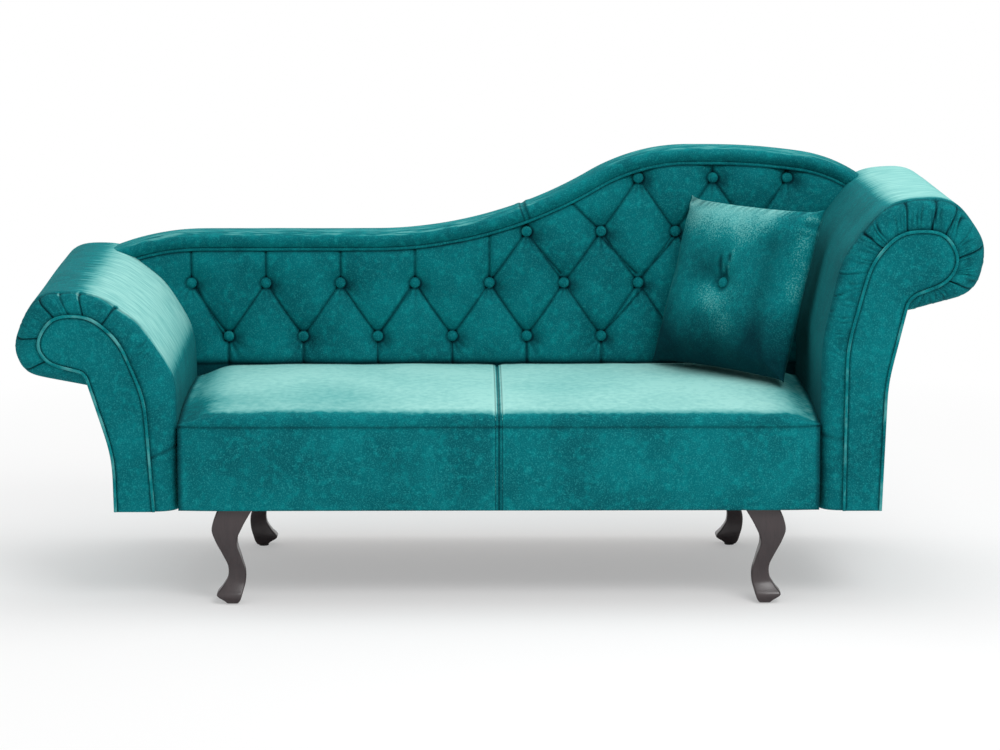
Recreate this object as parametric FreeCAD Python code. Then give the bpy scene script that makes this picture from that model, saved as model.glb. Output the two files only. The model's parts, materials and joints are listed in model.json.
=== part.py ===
# Chaise longue: a low and a high scroll arm, between them one long seat and a deep-buttoned
# back that rises in an S, four cabriole legs and one loose pillow.
# Millimetres. X to the right seen from the front, Y to the rear, Z up.
# The origin is on the floor, under the middle of the outer box.
import FreeCAD, Part
import math
import os

Vec = FreeCAD.Vector

# Driving dimensions
overall_width = 1820.0
overall_depth = 660.0
leg_height = 185.0            # floor to the underside of the upholstery
seat_half = 610.0             # middle to an arm's inner face
seat_crown = 392.0            # floor to the top of the seat
seat_front_edge = 372.0
seat_rear = 186.0             # Y of the seat's rear edge, where the back rises
back_flat_height = 651.7      # top line of the back on its low side
tuft_pitch = 152.0            # button to button along a row
tuft_rows = [440.0, 548.0, 652.0, 760.0]
fabric = 3.0                  # cover with its thin wadding
pillow_width = 350.0
pillow_height = 345.0
pillow_thickness = 120.0

# Planes worked out from them
front = -overall_depth / 2
rear = overall_depth / 2
frame_bottom = leg_height + 3.0
arm_reach = overall_width / 2 - seat_half
piping_radius = 4.0
piping_sides = 6
arm_rim_y = front + 2 * piping_radius      # front rim of an arm's cover
arm_round = 37.0                           # depth of the arm's rounded front edge
arm_rear_y = rear - 6.0
panel_y = rear - 46.0                      # front of the back's frame
tilt = 0.12                                # the back leans this much per unit of height
crown_y = seat_rear + 1.0                  # front of the tufts at seat level
pad_depth = 42.0                           # tufted layer, crown to the slab behind it
roll_height = 33.0                         # border roll, seam to top

# Arm outlines: distance outwards from the inner face, height, corner radius
low_arm = [(0, leg_height, 0), (2, 448, 120), (66, 545, 130), (150, 603, 120), (262, 611, 55),
           (309, 500, 90), (284, 448, 26), (152, 422, 12), (121, 265, 300), (120, leg_height, 0)]
low_facing = [(45, leg_height, 0), (60, 405, 200), (106, 522, 110), (160, 568, 50), (232, 569, 34),
              (263, 510, 26), (238, 474, 14), (170, 456, 26), (119, 290, 260), (117, leg_height, 0)]
high_arm = [(0, leg_height, 0), (0, 500, 200), (48, 664, 150), (125, 764, 90), (258, 780, 60),
            (302.2, 690, 42), (284, 606, 24), (146, 570, 12), (121, 400, 300), (117, leg_height, 0)]
high_facing = [(45, leg_height, 0), (47, 498, 240), (90, 660, 110), (142, 718, 60), (232, 721, 34),
               (263, 668, 26), (238, 630, 16), (166, 604, 40), (122, 430, 260), (114, leg_height, 0)]


def export(name, shape):
    shape.exportStep("parts/" + name + ".step")
    print(name, round(shape.Volume / 1000.0, 1), shape.isValid())


def box(x0, x1, y0, y1, z0, z1):
    return Part.makeBox(x1 - x0, y1 - y0, z1 - z0, Vec(x0, y0, z0))


def group(shapes):
    return Part.makeCompound(shapes)


# A flat-sided solid through rings of points, closed by a flat face at each end.
def skinned(rings):
    faces = []
    for low, high in zip(rings, rings[1:]):
        for i in range(len(low)):
            faces += flat_faces(low[i - 1], low[i], high[i], high[i - 1])
    faces += [Part.Face(closed(rings[0])), Part.Face(closed(rings[-1]))]
    skin = Part.makeCompound(faces)
    skin.sewShape(0.001)
    return Part.Solid(skin.Shells[0])


def flat_faces(a, b, c, d):
    normal = (b - a).cross(d - a).normalize()
    if abs((c - a).dot(normal)) < 0.000001:
        return [Part.Face(closed([a, b, c, d]))]
    return [Part.Face(closed([a, b, c])), Part.Face(closed([a, c, d]))]


def closed(points):
    return Part.makePolygon(points + [points[0]])


# An outline is a list of corners (a, b, radius) in a plane; "place" turns (a, b) into a point.
# Each round corner is given as the start, centre and end of its tangent arc.
def corner_arcs(corners):
    arcs = []
    count = len(corners)
    for i in range(count):
        before, here, after = corners[i - 1], corners[i], corners[(i + 1) % count]
        tip = Vec(here[0], here[1], 0)
        back = (Vec(before[0], before[1], 0) - tip).normalize()
        ahead = (Vec(after[0], after[1], 0) - tip).normalize()
        half = back.getAngle(ahead) / 2
        inward = (back + ahead).normalize()
        reach = here[2] / math.tan(half)
        centre = tip + inward * (here[2] / math.sin(half))
        arcs.append((tip + back * reach, centre, tip + ahead * reach))
    return arcs


def along_arc(start, centre, end, share):
    a = start - centre
    b = end - centre
    angle = a.getAngle(b)
    if angle < 0.001:
        return start
    return centre + (a * math.sin((1 - share) * angle) + b * math.sin(share * angle)) * (1 / math.sin(angle))


def rounded(corners, place):
    arcs = corner_arcs(corners)
    edges = []
    for i, (start, centre, end) in enumerate(arcs):
        following = arcs[(i + 1) % len(arcs)][0]
        if corners[i][2] > 0:
            middle = along_arc(start, centre, end, 0.5)
            edges.append(Part.Arc(place(start.x, start.y), place(middle.x, middle.y),
                                  place(end.x, end.y)).toShape())
        edges.append(Part.makeLine(place(end.x, end.y), place(following.x, following.y)))
    return Part.Wire(edges)


# The same outline with its arcs as a few chords, for the soft lofts.
chords = 3


def chorded_points(corners):
    points = []
    for corner, (start, centre, end) in zip(corners, corner_arcs(corners)):
        if corner[2] > 0:
            points += [along_arc(start, centre, end, k / chords) for k in range(chords + 1)]
        else:
            points.append(start)
    return points


def chorded(corners, place):
    return [place(p.x, p.y) for p in chorded_points(corners)]


# The same outline moved inwards by a distance, its arcs kept tangent.
def inset(corners, distance):
    count = len(corners)
    area = sum(corners[i - 1][0] * corners[i][1] - corners[i][0] * corners[i - 1][1] for i in range(count))
    side = 1.0 if area > 0 else -1.0
    moved = []
    for i in range(count):
        before, here, after = corners[i - 1], corners[i], corners[(i + 1) % count]
        first = Vec(here[0] - before[0], here[1] - before[1], 0).normalize()
        second = Vec(after[0] - here[0], after[1] - here[1], 0).normalize()
        normals = Vec(-first.y, first.x, 0) + Vec(-second.y, second.x, 0)
        shift = normals * (side * distance / (1 + first.dot(second)))
        convex = side * first.cross(second).z > 0
        radius = here[2] - distance if convex else here[2] + distance
        radius = max(radius, 1.0) if here[2] > 0 else 0
        moved.append((here[0] + shift.x, here[1] + shift.y, radius))
    return moved


def blend(first, second, share):
    return [tuple(a + (b - a) * share for a, b in zip(p, q)) for p, q in zip(first, second)]


def prism(corners, place, length):
    return Part.Face(rounded(corners, place)).extrude(length)


# Arms. "side" is -1 for the low arm on the left and +1 for the high arm on the right.
def arm_place(side, y):
    return lambda out, z: Vec(side * (seat_half + out), y, z)


# An arm's body: full outline over its depth, rounded off at the front to the facing's line.
def arm_form(side, outline, facing, thinner):
    rings = []
    for angle in [90, 45, 0]:
        share = 1 - math.cos(math.radians(angle))
        y = arm_rim_y + arm_round * (1 - math.sin(math.radians(angle))) + thinner
        rings.append(chorded(inset(blend(outline, facing, share), thinner), arm_place(side, y)))
    rings.append(chorded(inset(outline, thinner), arm_place(side, arm_rear_y)))
    return skinned(rings)


# A straight length of an inset outline, used for boards, cut-outs and panels.
def arm_slice(side, outline, thinner, y0, y1):
    return Part.Face(closed(chorded(inset(outline, thinner), arm_place(side, y0)))).extrude(Vec(0, y1 - y0, 0))


# Piping: a six-sided cord that follows the facing's line from floor side to floor side.
def arm_piping(side, facing):
    y = front + piping_radius
    route = chorded(facing, arm_place(side, y))
    rings = []
    for i, point in enumerate(route):
        before = (point - route[i - 1]).normalize() if i > 0 else (route[1] - point).normalize()
        after = (route[i + 1] - point).normalize() if i + 1 < len(route) else before
        out = Vec(0, 1, 0).cross(before + after).normalize()
        stretch = 1 / math.cos(before.getAngle(after) / 2)
        ring = []
        for k in range(piping_sides):
            angle = 2 * math.pi * (k + 0.5) / piping_sides
            ring.append(point + out * (piping_radius * stretch * math.cos(angle))
                        + Vec(0, piping_radius * math.sin(angle), 0))
        rings.append(ring)
    return skinned(rings)


foam_layer = 28.0             # cover and foam, down to the arm's card panel
front_margin = 4.0            # the front board stays this far inside the rounded edge's foam
card = 3.0
board = 18.0
board_front_y = front + 15.0
base_top = 250.0
base_width = 92.0
seam_gap = 4.2                # facing panel stays this far inside the piping's line


def make_arm(name, side, outline, facing, battens):
    inner_start = board_front_y + board
    inner_end = arm_rear_y - board
    bolts = group(arm_bolt_bodies(side))
    soft = arm_form(side, outline, facing, fabric)
    front_board = arm_slice(side, outline, foam_layer + card, board_front_y, inner_start)
    front_board = front_board.common(arm_form(side, outline, facing, fabric + front_margin))
    rear_board = arm_slice(side, outline, foam_layer + card, inner_end, arm_rear_y)
    chamfer = 14.0
    corners = [(fabric + 1, inner_start + chamfer), (fabric + chamfer, inner_start),
               (base_width, inner_start), (base_width, inner_end), (fabric + 1, inner_end)]
    base_z = leg_height + 5
    base = Part.Face(closed([Vec(side * (seat_half + out), y, base_z) for out, y in corners]))
    base = base.extrude(Vec(0, 0, base_top - base_z)).cut(bolts)
    stretchers = [arm_box(side, out - 20, out + 20, inner_start, inner_end, z - 14, z + 14)
                  for out, z in battens]
    frame_space = arm_slice(side, outline, foam_layer, inner_start, arm_rear_y)
    panel = frame_space.cut(arm_slice(side, outline, foam_layer + card, inner_start, arm_rear_y))
    panel = panel.cut(arm_box(side, -1, 200, inner_start, arm_rear_y, 0, base_top))
    face_space = arm_slice(side, facing, seam_gap, front - 1, board_front_y)
    foam = soft.cut(frame_space).cut(front_board).cut(face_space)
    foam = foam.cut(arm_box(side, -1, base_width + 2, inner_start, inner_end, 0, base_top))
    cover = arm_form(side, outline, facing, 0).cut(soft).cut(face_space)
    cover = cover.cut(arm_box(side, fabric, 118 - fabric, board_front_y, arm_rear_y, 0, leg_height + 4))
    export(name + "_front_board", front_board)
    export(name + "_rear_board", rear_board)
    export(name + "_base_rail", base)
    export(name + "_stretchers", group(stretchers))
    export(name + "_card_panel", panel)
    export(name + "_foam", foam)
    export(name + "_cover", cover.cut(bolts))
    export(name + "_front_facing", arm_slice(side, facing, seam_gap, front + 3, board_front_y))
    export(name + "_front_piping", arm_piping(side, facing))
    export(name + "_rear_facing", arm_slice(side, outline, 2, arm_rear_y, arm_rear_y + fabric))


def arm_box(side, out0, out1, y0, y1, z0, z1):
    x0, x1 = sorted([side * (seat_half + out0), side * (seat_half + out1)])
    return box(x0, x1, y0, y1, z0, z1)


# Bolts
bolt_radius = 4.0
head_radius = 7.5
head_height = 5.3
side_rail_inner = 580.0
arm_bolt_rows = [-180.0, -10.0, 160.0]
arm_bolt_z = 222.0
back_bolt_columns = [-400.0, -150.0, 150.0, 400.0]
back_bolt_z = 235.0


# A ring of points round an axis: six for a bolt's head, more for a round bar.
def ring_points(centre, radius, axis, sides):
    across = axis.cross(Vec(0, 0, 1)).normalize() if abs(axis.z) < 0.5 else Vec(1, 0, 0)
    other = axis.cross(across)
    turn = 2 * math.pi / sides
    return [centre + across * (radius * math.cos(turn * i)) + other * (radius * math.sin(turn * i))
            for i in range(sides)]


def bar(centre, radius, length, axis, sides=8):
    return Part.Face(closed(ring_points(centre, radius, axis, sides))).extrude(axis * length)


def bolt(seat, axis, length):
    head = bar(seat - axis * head_height, head_radius, head_height, axis, 6)
    return head.fuse(bar(seat, bolt_radius, length, axis))


def arm_bolt_bodies(side):
    return [bolt(Vec(side * side_rail_inner, y, arm_bolt_z), Vec(side, 0, 0), 85) for y in arm_bolt_rows]


def back_bolt_bodies():
    return [bolt(Vec(x, rail_rear_y, back_bolt_z), Vec(0, 1, 0), 66) for x in back_bolt_columns]


# Seat frame, springing and cushion
rail_front_y = front + 18.0           # front rail's face
rail_thickness = 25.0
rail_top = 310.0
rail_rear_y = 255.0
rail_rear_thickness = panel_y - rail_rear_y
seat_inside = seat_half - 4.0
leg_x_front = 502.0
leg_x_rear = 491.0
leg_y_front = -280.0
leg_y_rear = 235.0
plate_thickness = 3.0
webbing = 2.0
webbing_width = 60.0
springing_top = rail_top + 8.0        # webbing both ways and the insulator pad


def leg_places():
    return [(-leg_x_front, leg_y_front), (leg_x_front, leg_y_front),
            (-leg_x_rear, leg_y_rear), (leg_x_rear, leg_y_rear)]


def make_seat_frame():
    z0 = frame_bottom
    bolts = group(arm_bolt_bodies(-1) + arm_bolt_bodies(1) + back_bolt_bodies())
    hangers = group(hanger_bolts())
    screws = group(plate_screws())
    first = rail_front_y + rail_thickness
    front_rail = box(-seat_inside, seat_inside, rail_front_y, first, z0, rail_top)
    export("seat_front_rail", front_rail.cut(screws))
    rear_rail = box(-seat_inside, seat_inside, rail_rear_y, rail_rear_y + rail_rear_thickness, z0, rail_top)
    export("seat_rear_rail", rear_rail.cut(bolts).cut(screws))
    for name, side in [("left", -1), ("right", 1)]:
        x0, x1 = sorted([side * side_rail_inner, side * seat_half])
        rail = box(x0, x1, first, rail_rear_y, z0, rail_top)
        export("seat_" + name + "_rail", rail.cut(bolts))
    export("seat_centre_rail", box(-rail_thickness, rail_thickness, first, rail_rear_y, z0 + 40, rail_top - 30))
    blocks = []
    for x, y in leg_places():
        x0, x1 = (x - 60, side_rail_inner) if x > 0 else (-side_rail_inner, x + 60)
        y0, y1 = (first, first + 80) if y < 0 else (rail_rear_y - 80, rail_rear_y)
        blocks.append(box(x0, x1, y0, y1, z0, z0 + 70).cut(hangers).cut(screws))
    export("seat_corner_blocks", group(blocks))


def make_webbing():
    spans = 9
    span_pitch = (2 * side_rail_inner - webbing_width) / (spans - 1)
    first = rail_top + webbing
    second = first + webbing
    cross = []
    for i in range(spans):
        x = -side_rail_inner + i * span_pitch
        cross.append(box(x, x + webbing_width, rail_front_y + 2, rail_rear_y + 20, rail_top, first))
    export("seat_cross_webbing", group(cross))
    lengthwise = [box(-seat_inside, seat_inside, y, y + webbing_width, first, second)
                  for y in [-210.0, -60.0, 90.0]]
    export("seat_long_webbing", group(lengthwise))
    export("seat_insulator_pad", box(-seat_inside, seat_inside, rail_front_y, seat_rear, second, springing_top))


# The seat's section in the Y-Z plane at a distance from the middle: apron, welt seam, front
# edge and crown. "drop" lowers the crown and "back" draws the front in, at the ends.
welt_z = 346.0


def seat_section(x, drop, back, thinner):
    face = front + 5 + back + thinner
    top = seat_crown - drop - thinner
    edge = seat_front_edge - drop * 0.6 - thinner
    rise = top - edge
    apron = [(face + 4, leg_height), (face + 0.5, 225), (face, 280), (face + 5, welt_z)]
    lip = [(face + 3, welt_z + 7), (face + 6, edge - 9), (face + 12, edge - 3), (face + 22, edge)]
    crown = [(-240, edge + rise * 0.55), (-160, edge + rise * 0.87), (-70, top), (60, top), (seat_rear, top - 3)]
    return [Vec(x, y, z) for y, z in apron + lip + crown + [(seat_rear, leg_height)]]


# The seat from arm to arm, with the stitched seam in its middle.
def seat_form(thinner):
    half = seat_half - 1 - thinner
    right = [(26, 0.5, 0), (300, 0, 0), (half - 60, 3, 0), (half - 18, 11, 2), (half, 24, 9)]
    left = [(-x, drop, back) for x, drop, back in reversed(right)]
    return skinned([seat_section(x, drop, back, thinner) for x, drop, back in left + [(0, 5, 3)] + right])


def make_seat_cushion():
    under = box(-seat_half, seat_half, rail_front_y, rear, 0, springing_top)
    sheath = box(-seat_half, seat_half, front, rear, 0, frame_bottom)
    outer = seat_form(0).cut(under)
    foam = seat_form(fabric).cut(under).cut(sheath)
    export("seat_foam", foam)
    export("seat_cover", outer.cut(foam))


def make_dust_cover():
    sheet = box(-seat_half + 2, seat_half - 2, rail_front_y, rear - 45, frame_bottom - 1.2, frame_bottom)
    for x, y in leg_places():
        sheet = sheet.cut(box(x - 44, x + 44, y - 30, y + 30, 0, frame_bottom))
    export("dust_cover", sheet)


# Legs: the front view's double curve, crossed with a side view that thins to the ankle.
leg_front_view = [(-33, leg_height, 0), (33, leg_height, 0), (47, 142, 26), (13, 62, 60), (38, 17, 9),
                  (21, 0, 2), (-3, 0, 2), (-13, 18, 12), (-19, 52, 40), (0, 122, 45)]
leg_side_view = [(-25, leg_height, 0), (25, leg_height, 0), (25, 140, 60), (16, 62, 60), (21, 16, 9),
                 (14, 0, 2), (-14, 0, 2), (-21, 16, 9), (-16, 62, 60), (-25, 140, 60)]
glide_height = 2.5
glide_radius = 10.0
glide_shift = 9.0             # the foot's middle stands this far towards the toe


def make_leg(x, y, kick):
    view = [(kick * a, b, r) for a, b, r in leg_front_view]
    seen_front = prism(view, lambda a, b: Vec(x + a, y - 30, b), Vec(0, 60, 0))
    seen_side = prism(leg_side_view, lambda a, b: Vec(x - 60, y + a, b), Vec(120, 0, 0))
    leg = seen_front.common(seen_side)
    leg = leg.cut(box(x - 60, x + 60, y - 30, y + 30, -1, glide_height))
    return leg.cut(group(hanger_bolts()))


def kick_of(x, y):
    outwards = 1 if x > 0 else -1
    return outwards if y < 0 else -outwards


def hanger_bolts():
    return [bar(Vec(x, y, leg_height - 30), bolt_radius, 60, Vec(0, 0, 1)) for x, y in leg_places()]


def plate_screws():
    screws = []
    for x, y in leg_places():
        for dx, dy in [(-34, -20), (34, 20)]:
            top = leg_height + 1.2
            head = bar(Vec(x + dx, y + dy, top), 4.0, plate_thickness - 1.2, Vec(0, 0, 1), 6)
            shank = bar(Vec(x + dx, y + dy, top), 2.2, 20, Vec(0, 0, 1), 6)
            screws.append(head.fuse(shank))
    return screws


def make_legs():
    names = ["leg_front_left", "leg_front_right", "leg_rear_left", "leg_rear_right"]
    for name, (x, y) in zip(names, leg_places()):
        export(name, make_leg(x, y, kick_of(x, y)))
    glides = [bar(Vec(x + glide_shift * kick_of(x, y), y, 0), glide_radius, glide_height, Vec(0, 0, 1), 12)
              for x, y in leg_places()]
    export("leg_glides", group(glides))
    export("leg_hanger_bolts", group(hanger_bolts()))
    plates = []
    for x, y in leg_places():
        plate = box(x - 42, x + 42, y - 27, y + 27, leg_height, leg_height + plate_thickness)
        plates.append(plate.cut(group(hanger_bolts())).cut(group(plate_screws())))
    export("leg_mount_plates", group(plates))
    export("plate_screws", group(plate_screws()))


# The back's top line: a chain of stretches (length or signed radius, turn in degrees),
# followed from left to right. A positive turn bends upwards.
top_start_x = -790.0
top_start_heading = 22.33
top_chain = [("arc", 500.0, -22.33), ("line", 348.0, 0), ("arc", 882.0, 30.1), ("arc", 403.0, -30.1),
             ("line", 38.0, 0), ("arc", 1345.0, -8.12), ("arc", 300.0, -31.0)]
top_start_z = back_flat_height - 500.0 * (1 - math.cos(math.radians(top_start_heading)))


# Stretches of the line that runs parallel to the top line, "below" under it:
# each is (start, middle, end, centre), the middle and centre None on a straight stretch.
def back_stretches(below):
    heading = math.radians(top_start_heading)
    point = Vec(top_start_x, top_start_z, 0) - Vec(-math.sin(heading), math.cos(heading), 0) * below
    found = []
    for kind, size, turn in top_chain:
        if kind == "line":
            end = point + Vec(math.cos(heading), math.sin(heading), 0) * size
            found.append((point, None, end, None))
        else:
            bend = 1 if turn > 0 else -1
            radius = size + bend * below
            centre = point + Vec(-math.sin(heading), math.cos(heading), 0) * (bend * radius)
            after = heading + math.radians(turn)
            middle = (heading + after) / 2
            end = centre - Vec(-math.sin(after), math.cos(after), 0) * (bend * radius)
            between = centre - Vec(-math.sin(middle), math.cos(middle), 0) * (bend * radius)
            found.append((point, between, end, centre))
            heading = after
        point = end
    return found


def back_edges(below, y):
    edges = []
    for start, middle, end, _ in back_stretches(below):
        a = Vec(start.x, y, start.y)
        b = Vec(end.x, y, end.y)
        if middle is None:
            edges.append(Part.makeLine(a, b))
        else:
            edges.append(Part.Arc(a, Vec(middle.x, y, middle.y), b).toShape())
    return edges


# Height of the parallel line over a given X.
def line_height(x, below):
    for start, middle, end, centre in back_stretches(below):
        if x <= end.x:
            if middle is None:
                return start.y + (end.y - start.y) * (x - start.x) / (end.x - start.x)
            bend = 1 if middle.y < centre.y else -1
            radius = (start - centre).Length
            return centre.y - bend * math.sqrt(radius ** 2 - (x - centre.x) ** 2)
    return end.y


# A sheet or slab under the parallel line, from "bottom" up, between two Y planes.
def back_sheet(below, bottom, y0, y1):
    edges = back_edges(below, y0)
    first = edges[0].Vertexes[0].Point
    last = edges[-1].Vertexes[-1].Point
    low_first = Vec(first.x, y0, bottom)
    low_last = Vec(last.x, y0, bottom)
    edges += [Part.makeLine(last, low_last), Part.makeLine(low_last, low_first),
              Part.makeLine(low_first, first)]
    return Part.Face(Part.Wire(edges)).extrude(Vec(0, y1 - y0, 0))


# What the arms take out of the back, with half a millimetre to spare.
def arm_spaces():
    spaces = []
    for side, outline in [(-1, low_arm), (1, high_arm)]:
        filled = outline[1:6] + [(arm_reach + 20, leg_height - 50, 0), (0, leg_height - 50, 0)]
        spaces.append(prism(inset(filled, -0.5), arm_place(side, front - 1), Vec(0, overall_depth + 2, 0)))
    return group(spaces)


def crown_plane(z):
    return crown_y + (z - seat_crown) * tilt


# Tufting. Columns stand half a pitch apart; buttons sit on every second column of a row.
first_column = -775.0
column_count = 21
rows_even = [tuft_rows[1], tuft_rows[3]]
rows_odd = [tuft_rows[0], tuft_rows[2]]
pad_bottom = 386.0
button_dip = 27.0
pleat_dip = 12.0
seam_dip = 16.0
seat_dip = 4.0
lean = {12: -42.0, 13: -62.0}       # feet of the two slanted pleats on the rise


def column_x(j):
    return first_column + j * tuft_pitch / 2


# Heights of the buttons in a column, those that fit under the seam line.
def column_rows(j):
    rows = rows_even if j % 2 == 0 else rows_odd
    room = line_height(column_x(j), roll_height) - 12
    return [z for z in rows if z < room or z == rows[0]]


def pad_point(x, z, dip):
    return Vec(x, crown_plane(z) + dip, z)


# One puffed cell: a quadratic patch on four corners (x, z, dip) whose edges dip to the
# pleats' depth "edge_dips" at their middles and whose own middle stands at the crown.
# The patch is laid out as flat triangles on a small grid, and closed to the slab behind it.
cell_steps = 3


def puffed_cell(corners, edge_dips, crown_dip):
    a, b, c, d = corners
    mids = []
    for (p, q), dip in zip([(a, b), (b, c), (c, d), (d, a)], edge_dips):
        mids.append(((p[0] + q[0]) / 2, (p[1] + q[1]) / 2, 2 * dip - (p[2] + q[2]) / 2))
    total = sum(p[2] for p in corners) / 16 + sum(m[2] for m in mids) / 8
    centre_x = sum(p[0] for p in corners) / 4
    centre_z = sum(p[1] for p in corners) / 4
    centre = (centre_x, centre_z, 4 * (crown_dip - total))
    ab, bc, cd, da = mids
    poles = [[a, ab, b], [da, centre, bc], [d, cd, c]]

    def patch_point(u, v):
        row = [(1 - u) ** 2, 2 * u * (1 - u), u ** 2]
        column = [(1 - v) ** 2, 2 * v * (1 - v), v ** 2]
        x, z, dip = [sum(row[i] * column[k] * poles[i][k][n] for i in range(3) for k in range(3))
                     for n in range(3)]
        return pad_point(x, z, dip)

    grid = [[patch_point(i / cell_steps, k / cell_steps) for k in range(cell_steps + 1)]
            for i in range(cell_steps + 1)]
    faces = []
    for i in range(cell_steps):
        for k in range(cell_steps):
            p, q, r, t = grid[i][k], grid[i][k + 1], grid[i + 1][k + 1], grid[i + 1][k]
            faces += [Part.Face(closed([p, q, r])), Part.Face(closed([p, r, t]))]
    rim = grid[0][:-1] + [line[-1] for line in grid[:-1]] + grid[-1][:0:-1] + [line[0] for line in grid[:0:-1]]
    for first, second in zip(rim, rim[1:] + rim[:1]):
        faces.append(Part.Face(closed([first, second, slab_point(second), slab_point(first)])))
    faces.append(Part.Face(closed([slab_point(p) for p in rim])))
    skin = Part.makeCompound(faces)
    skin.sewShape(0.001)
    return Part.Solid(skin.Shells[0])


def seam_corner(j):
    x = column_x(j) + lean.get(j, 0.0)
    return (x, line_height(x, roll_height) - 1.0, seam_dip)


def seat_corner(j):
    is_pleat = j % 2 == 1
    return (column_x(j), pad_bottom, pleat_dip if is_pleat else seat_dip)


def tufted_cells():
    cells = []
    buttons = {j: column_rows(j) for j in range(column_count)}
    for j in range(column_count - 1):
        left_low, right_low = buttons[j][0], buttons[j + 1][0]
        low_a = (column_x(j), left_low, button_dip)
        low_b = (column_x(j + 1), right_low, button_dip)
        side_dips = [pleat_dip if k % 2 == 1 else 3.0 for k in (j, j + 1)]
        cells.append(puffed_cell([low_a, low_b, seat_corner(j + 1), seat_corner(j)],
                                 [pleat_dip, side_dips[1], 8.0, side_dips[0]], 2.0))
        top_a = (column_x(j), buttons[j][-1], button_dip)
        top_b = (column_x(j + 1), buttons[j + 1][-1], button_dip)
        top_dips = [crest_dip(buttons, k) for k in (j, j + 1)]
        cells.append(puffed_cell([top_a, top_b, seam_corner(j + 1), seam_corner(j)],
                                 [pleat_dip, top_dips[1], 12.0, top_dips[0]], 4.0))
    for j in range(1, column_count - 1):
        for low in buttons[j][:-1]:
            middle = [z for z in buttons[j - 1] if z > low][0]
            high = buttons[j][buttons[j].index(low) + 1]
            corners = [(column_x(j - 1), middle, button_dip), (column_x(j), low, button_dip),
                       (column_x(j + 1), middle, button_dip), (column_x(j), high, button_dip)]
            cells.append(puffed_cell(corners, [pleat_dip] * 4, 0.0))
    return cells


# The edge from a column's highest button to the seam is a pleat, unless both neighbours
# stand higher, where it is only the crown between two pleats.
def crest_dip(buttons, j):
    own = buttons[j][-1]
    around = [buttons[k][-1] for k in (j - 1, j + 1) if 0 <= k < column_count]
    return 6.0 if min(around) > own else pleat_dip


def slab_point(point):
    return Vec(point.x, crown_plane(point.z) + pad_depth, point.z)


# The tufted layer, all its cells in one.
def tufted_pad():
    cells = tufted_cells()
    return cells[0].multiFuse(cells[1:]).removeSplitter().Solids[0]


def button_places():
    spare = 12.0
    spaces = arm_spaces()
    places = []
    for j in range(column_count):
        for z in column_rows(j):
            x = column_x(j)
            spot = Part.makeSphere(spare, Vec(x, 0, z))
            if not spot.common(spaces).Volume > 0:
                places.append((x, z))
    return places


button_radius = 11.0
button_rim = 2.5
button_dome = 6.0
button_sides = 8


# A covered button: a short rim and a low dome.
def covered_button(seat, axis):
    levels = [(0.0, button_radius), (button_rim, button_radius), (button_dome, button_radius * 0.5)]
    return skinned([ring_points(seat + axis * height, radius, axis, button_sides)
                    for height, radius in levels])


# Where a button of the back sits, at the bottom of its dip.
def button_seat(x, z):
    return Vec(x, crown_plane(z) + button_dip - 3.0, z)


slab_bottom = springing_top


def make_back_pads():
    spaces = arm_spaces()
    axis = Vec(0, -1, tilt).normalize()
    buttons = group([covered_button(button_seat(x, z), axis) for x, z in button_places()])
    pad = tufted_pad().cut(spaces)
    sockets = [bar(button_seat(x, z), button_radius, button_dip, axis, button_sides)
               for x, z in button_places()]
    pad = pad.cut(group(sockets))
    export("back_tufted_cover", pad)
    export("back_buttons", buttons)
    low = crown_plane(pad_bottom) + pad_depth
    high = crown_plane(900) + pad_depth
    section = [(low, pad_bottom), (high, 900), (rear, 900), (rear, 0), (crown_y, 0),
               (crown_y, pad_bottom - 8), (crown_y + 20, pad_bottom)]
    wedge = Part.Face(closed([Vec(-900, y, z) for y, z in section])).extrude(Vec(1800, 0, 0))
    slab = back_sheet(roll_height, slab_bottom, 0, panel_y - 4).common(wedge).cut(spaces)
    slab = slab.cut(box(-900, 900, rail_rear_y, rear, 0, rail_top))
    export("back_foam", slab)


def make_back_frame():
    spaces = arm_spaces()
    y0 = panel_y
    y1 = panel_y + 40.0
    bolts = group(back_bolt_bodies())
    export("back_board", back_sheet(roll_height, rail_top, y0 - 4, y0).cut(spaces))
    bottom_top = 290.0
    bottom = box(-seat_inside, seat_inside, rail_rear_y + rail_rear_thickness, y1, frame_bottom, bottom_top)
    export("back_bottom_rail", bottom.cut(bolts))
    rail_depth = 60.0
    under_rail = back_sheet(roll_height + rail_depth, bottom_top, y0, y1)
    top_rail = back_sheet(roll_height, bottom_top, y0, y1).cut(under_rail).cut(spaces)
    export("back_top_rail", top_rail)
    for number, x in enumerate([-560.0, -190.0, 190.0, 560.0]):
        post = box(x - 22, x + 22, y0, y1, bottom_top, 900).common(under_rail)
        export("back_post_" + str(number + 1), post)
    rear_sheet = back_sheet(roll_height, leg_height, y1, y1 + fabric)
    export("back_rear_cover", rear_sheet.cut(spaces))


# Stations along the top line: points and headings, close together on the bends.
def roll_stations():
    step = 7.5
    heading = math.radians(top_start_heading)
    stations = []
    for (kind, size, turn), (start, middle, end, centre) in zip(top_chain, back_stretches(0)):
        count = max(1, round(abs(turn) / step))
        for k in range(count):
            share = k / count
            point = start if centre is None else along_arc(start, centre, end, share)
            stations.append((point, heading + math.radians(turn) * share))
        heading += math.radians(turn)
    stations.append((end, heading))
    return stations


# The border roll's section: from the seam it swells forward, rounds over the top and
# falls to the rear cover. It starts a little under the seam and is cut off along it.
under_seam = 5.0


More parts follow.
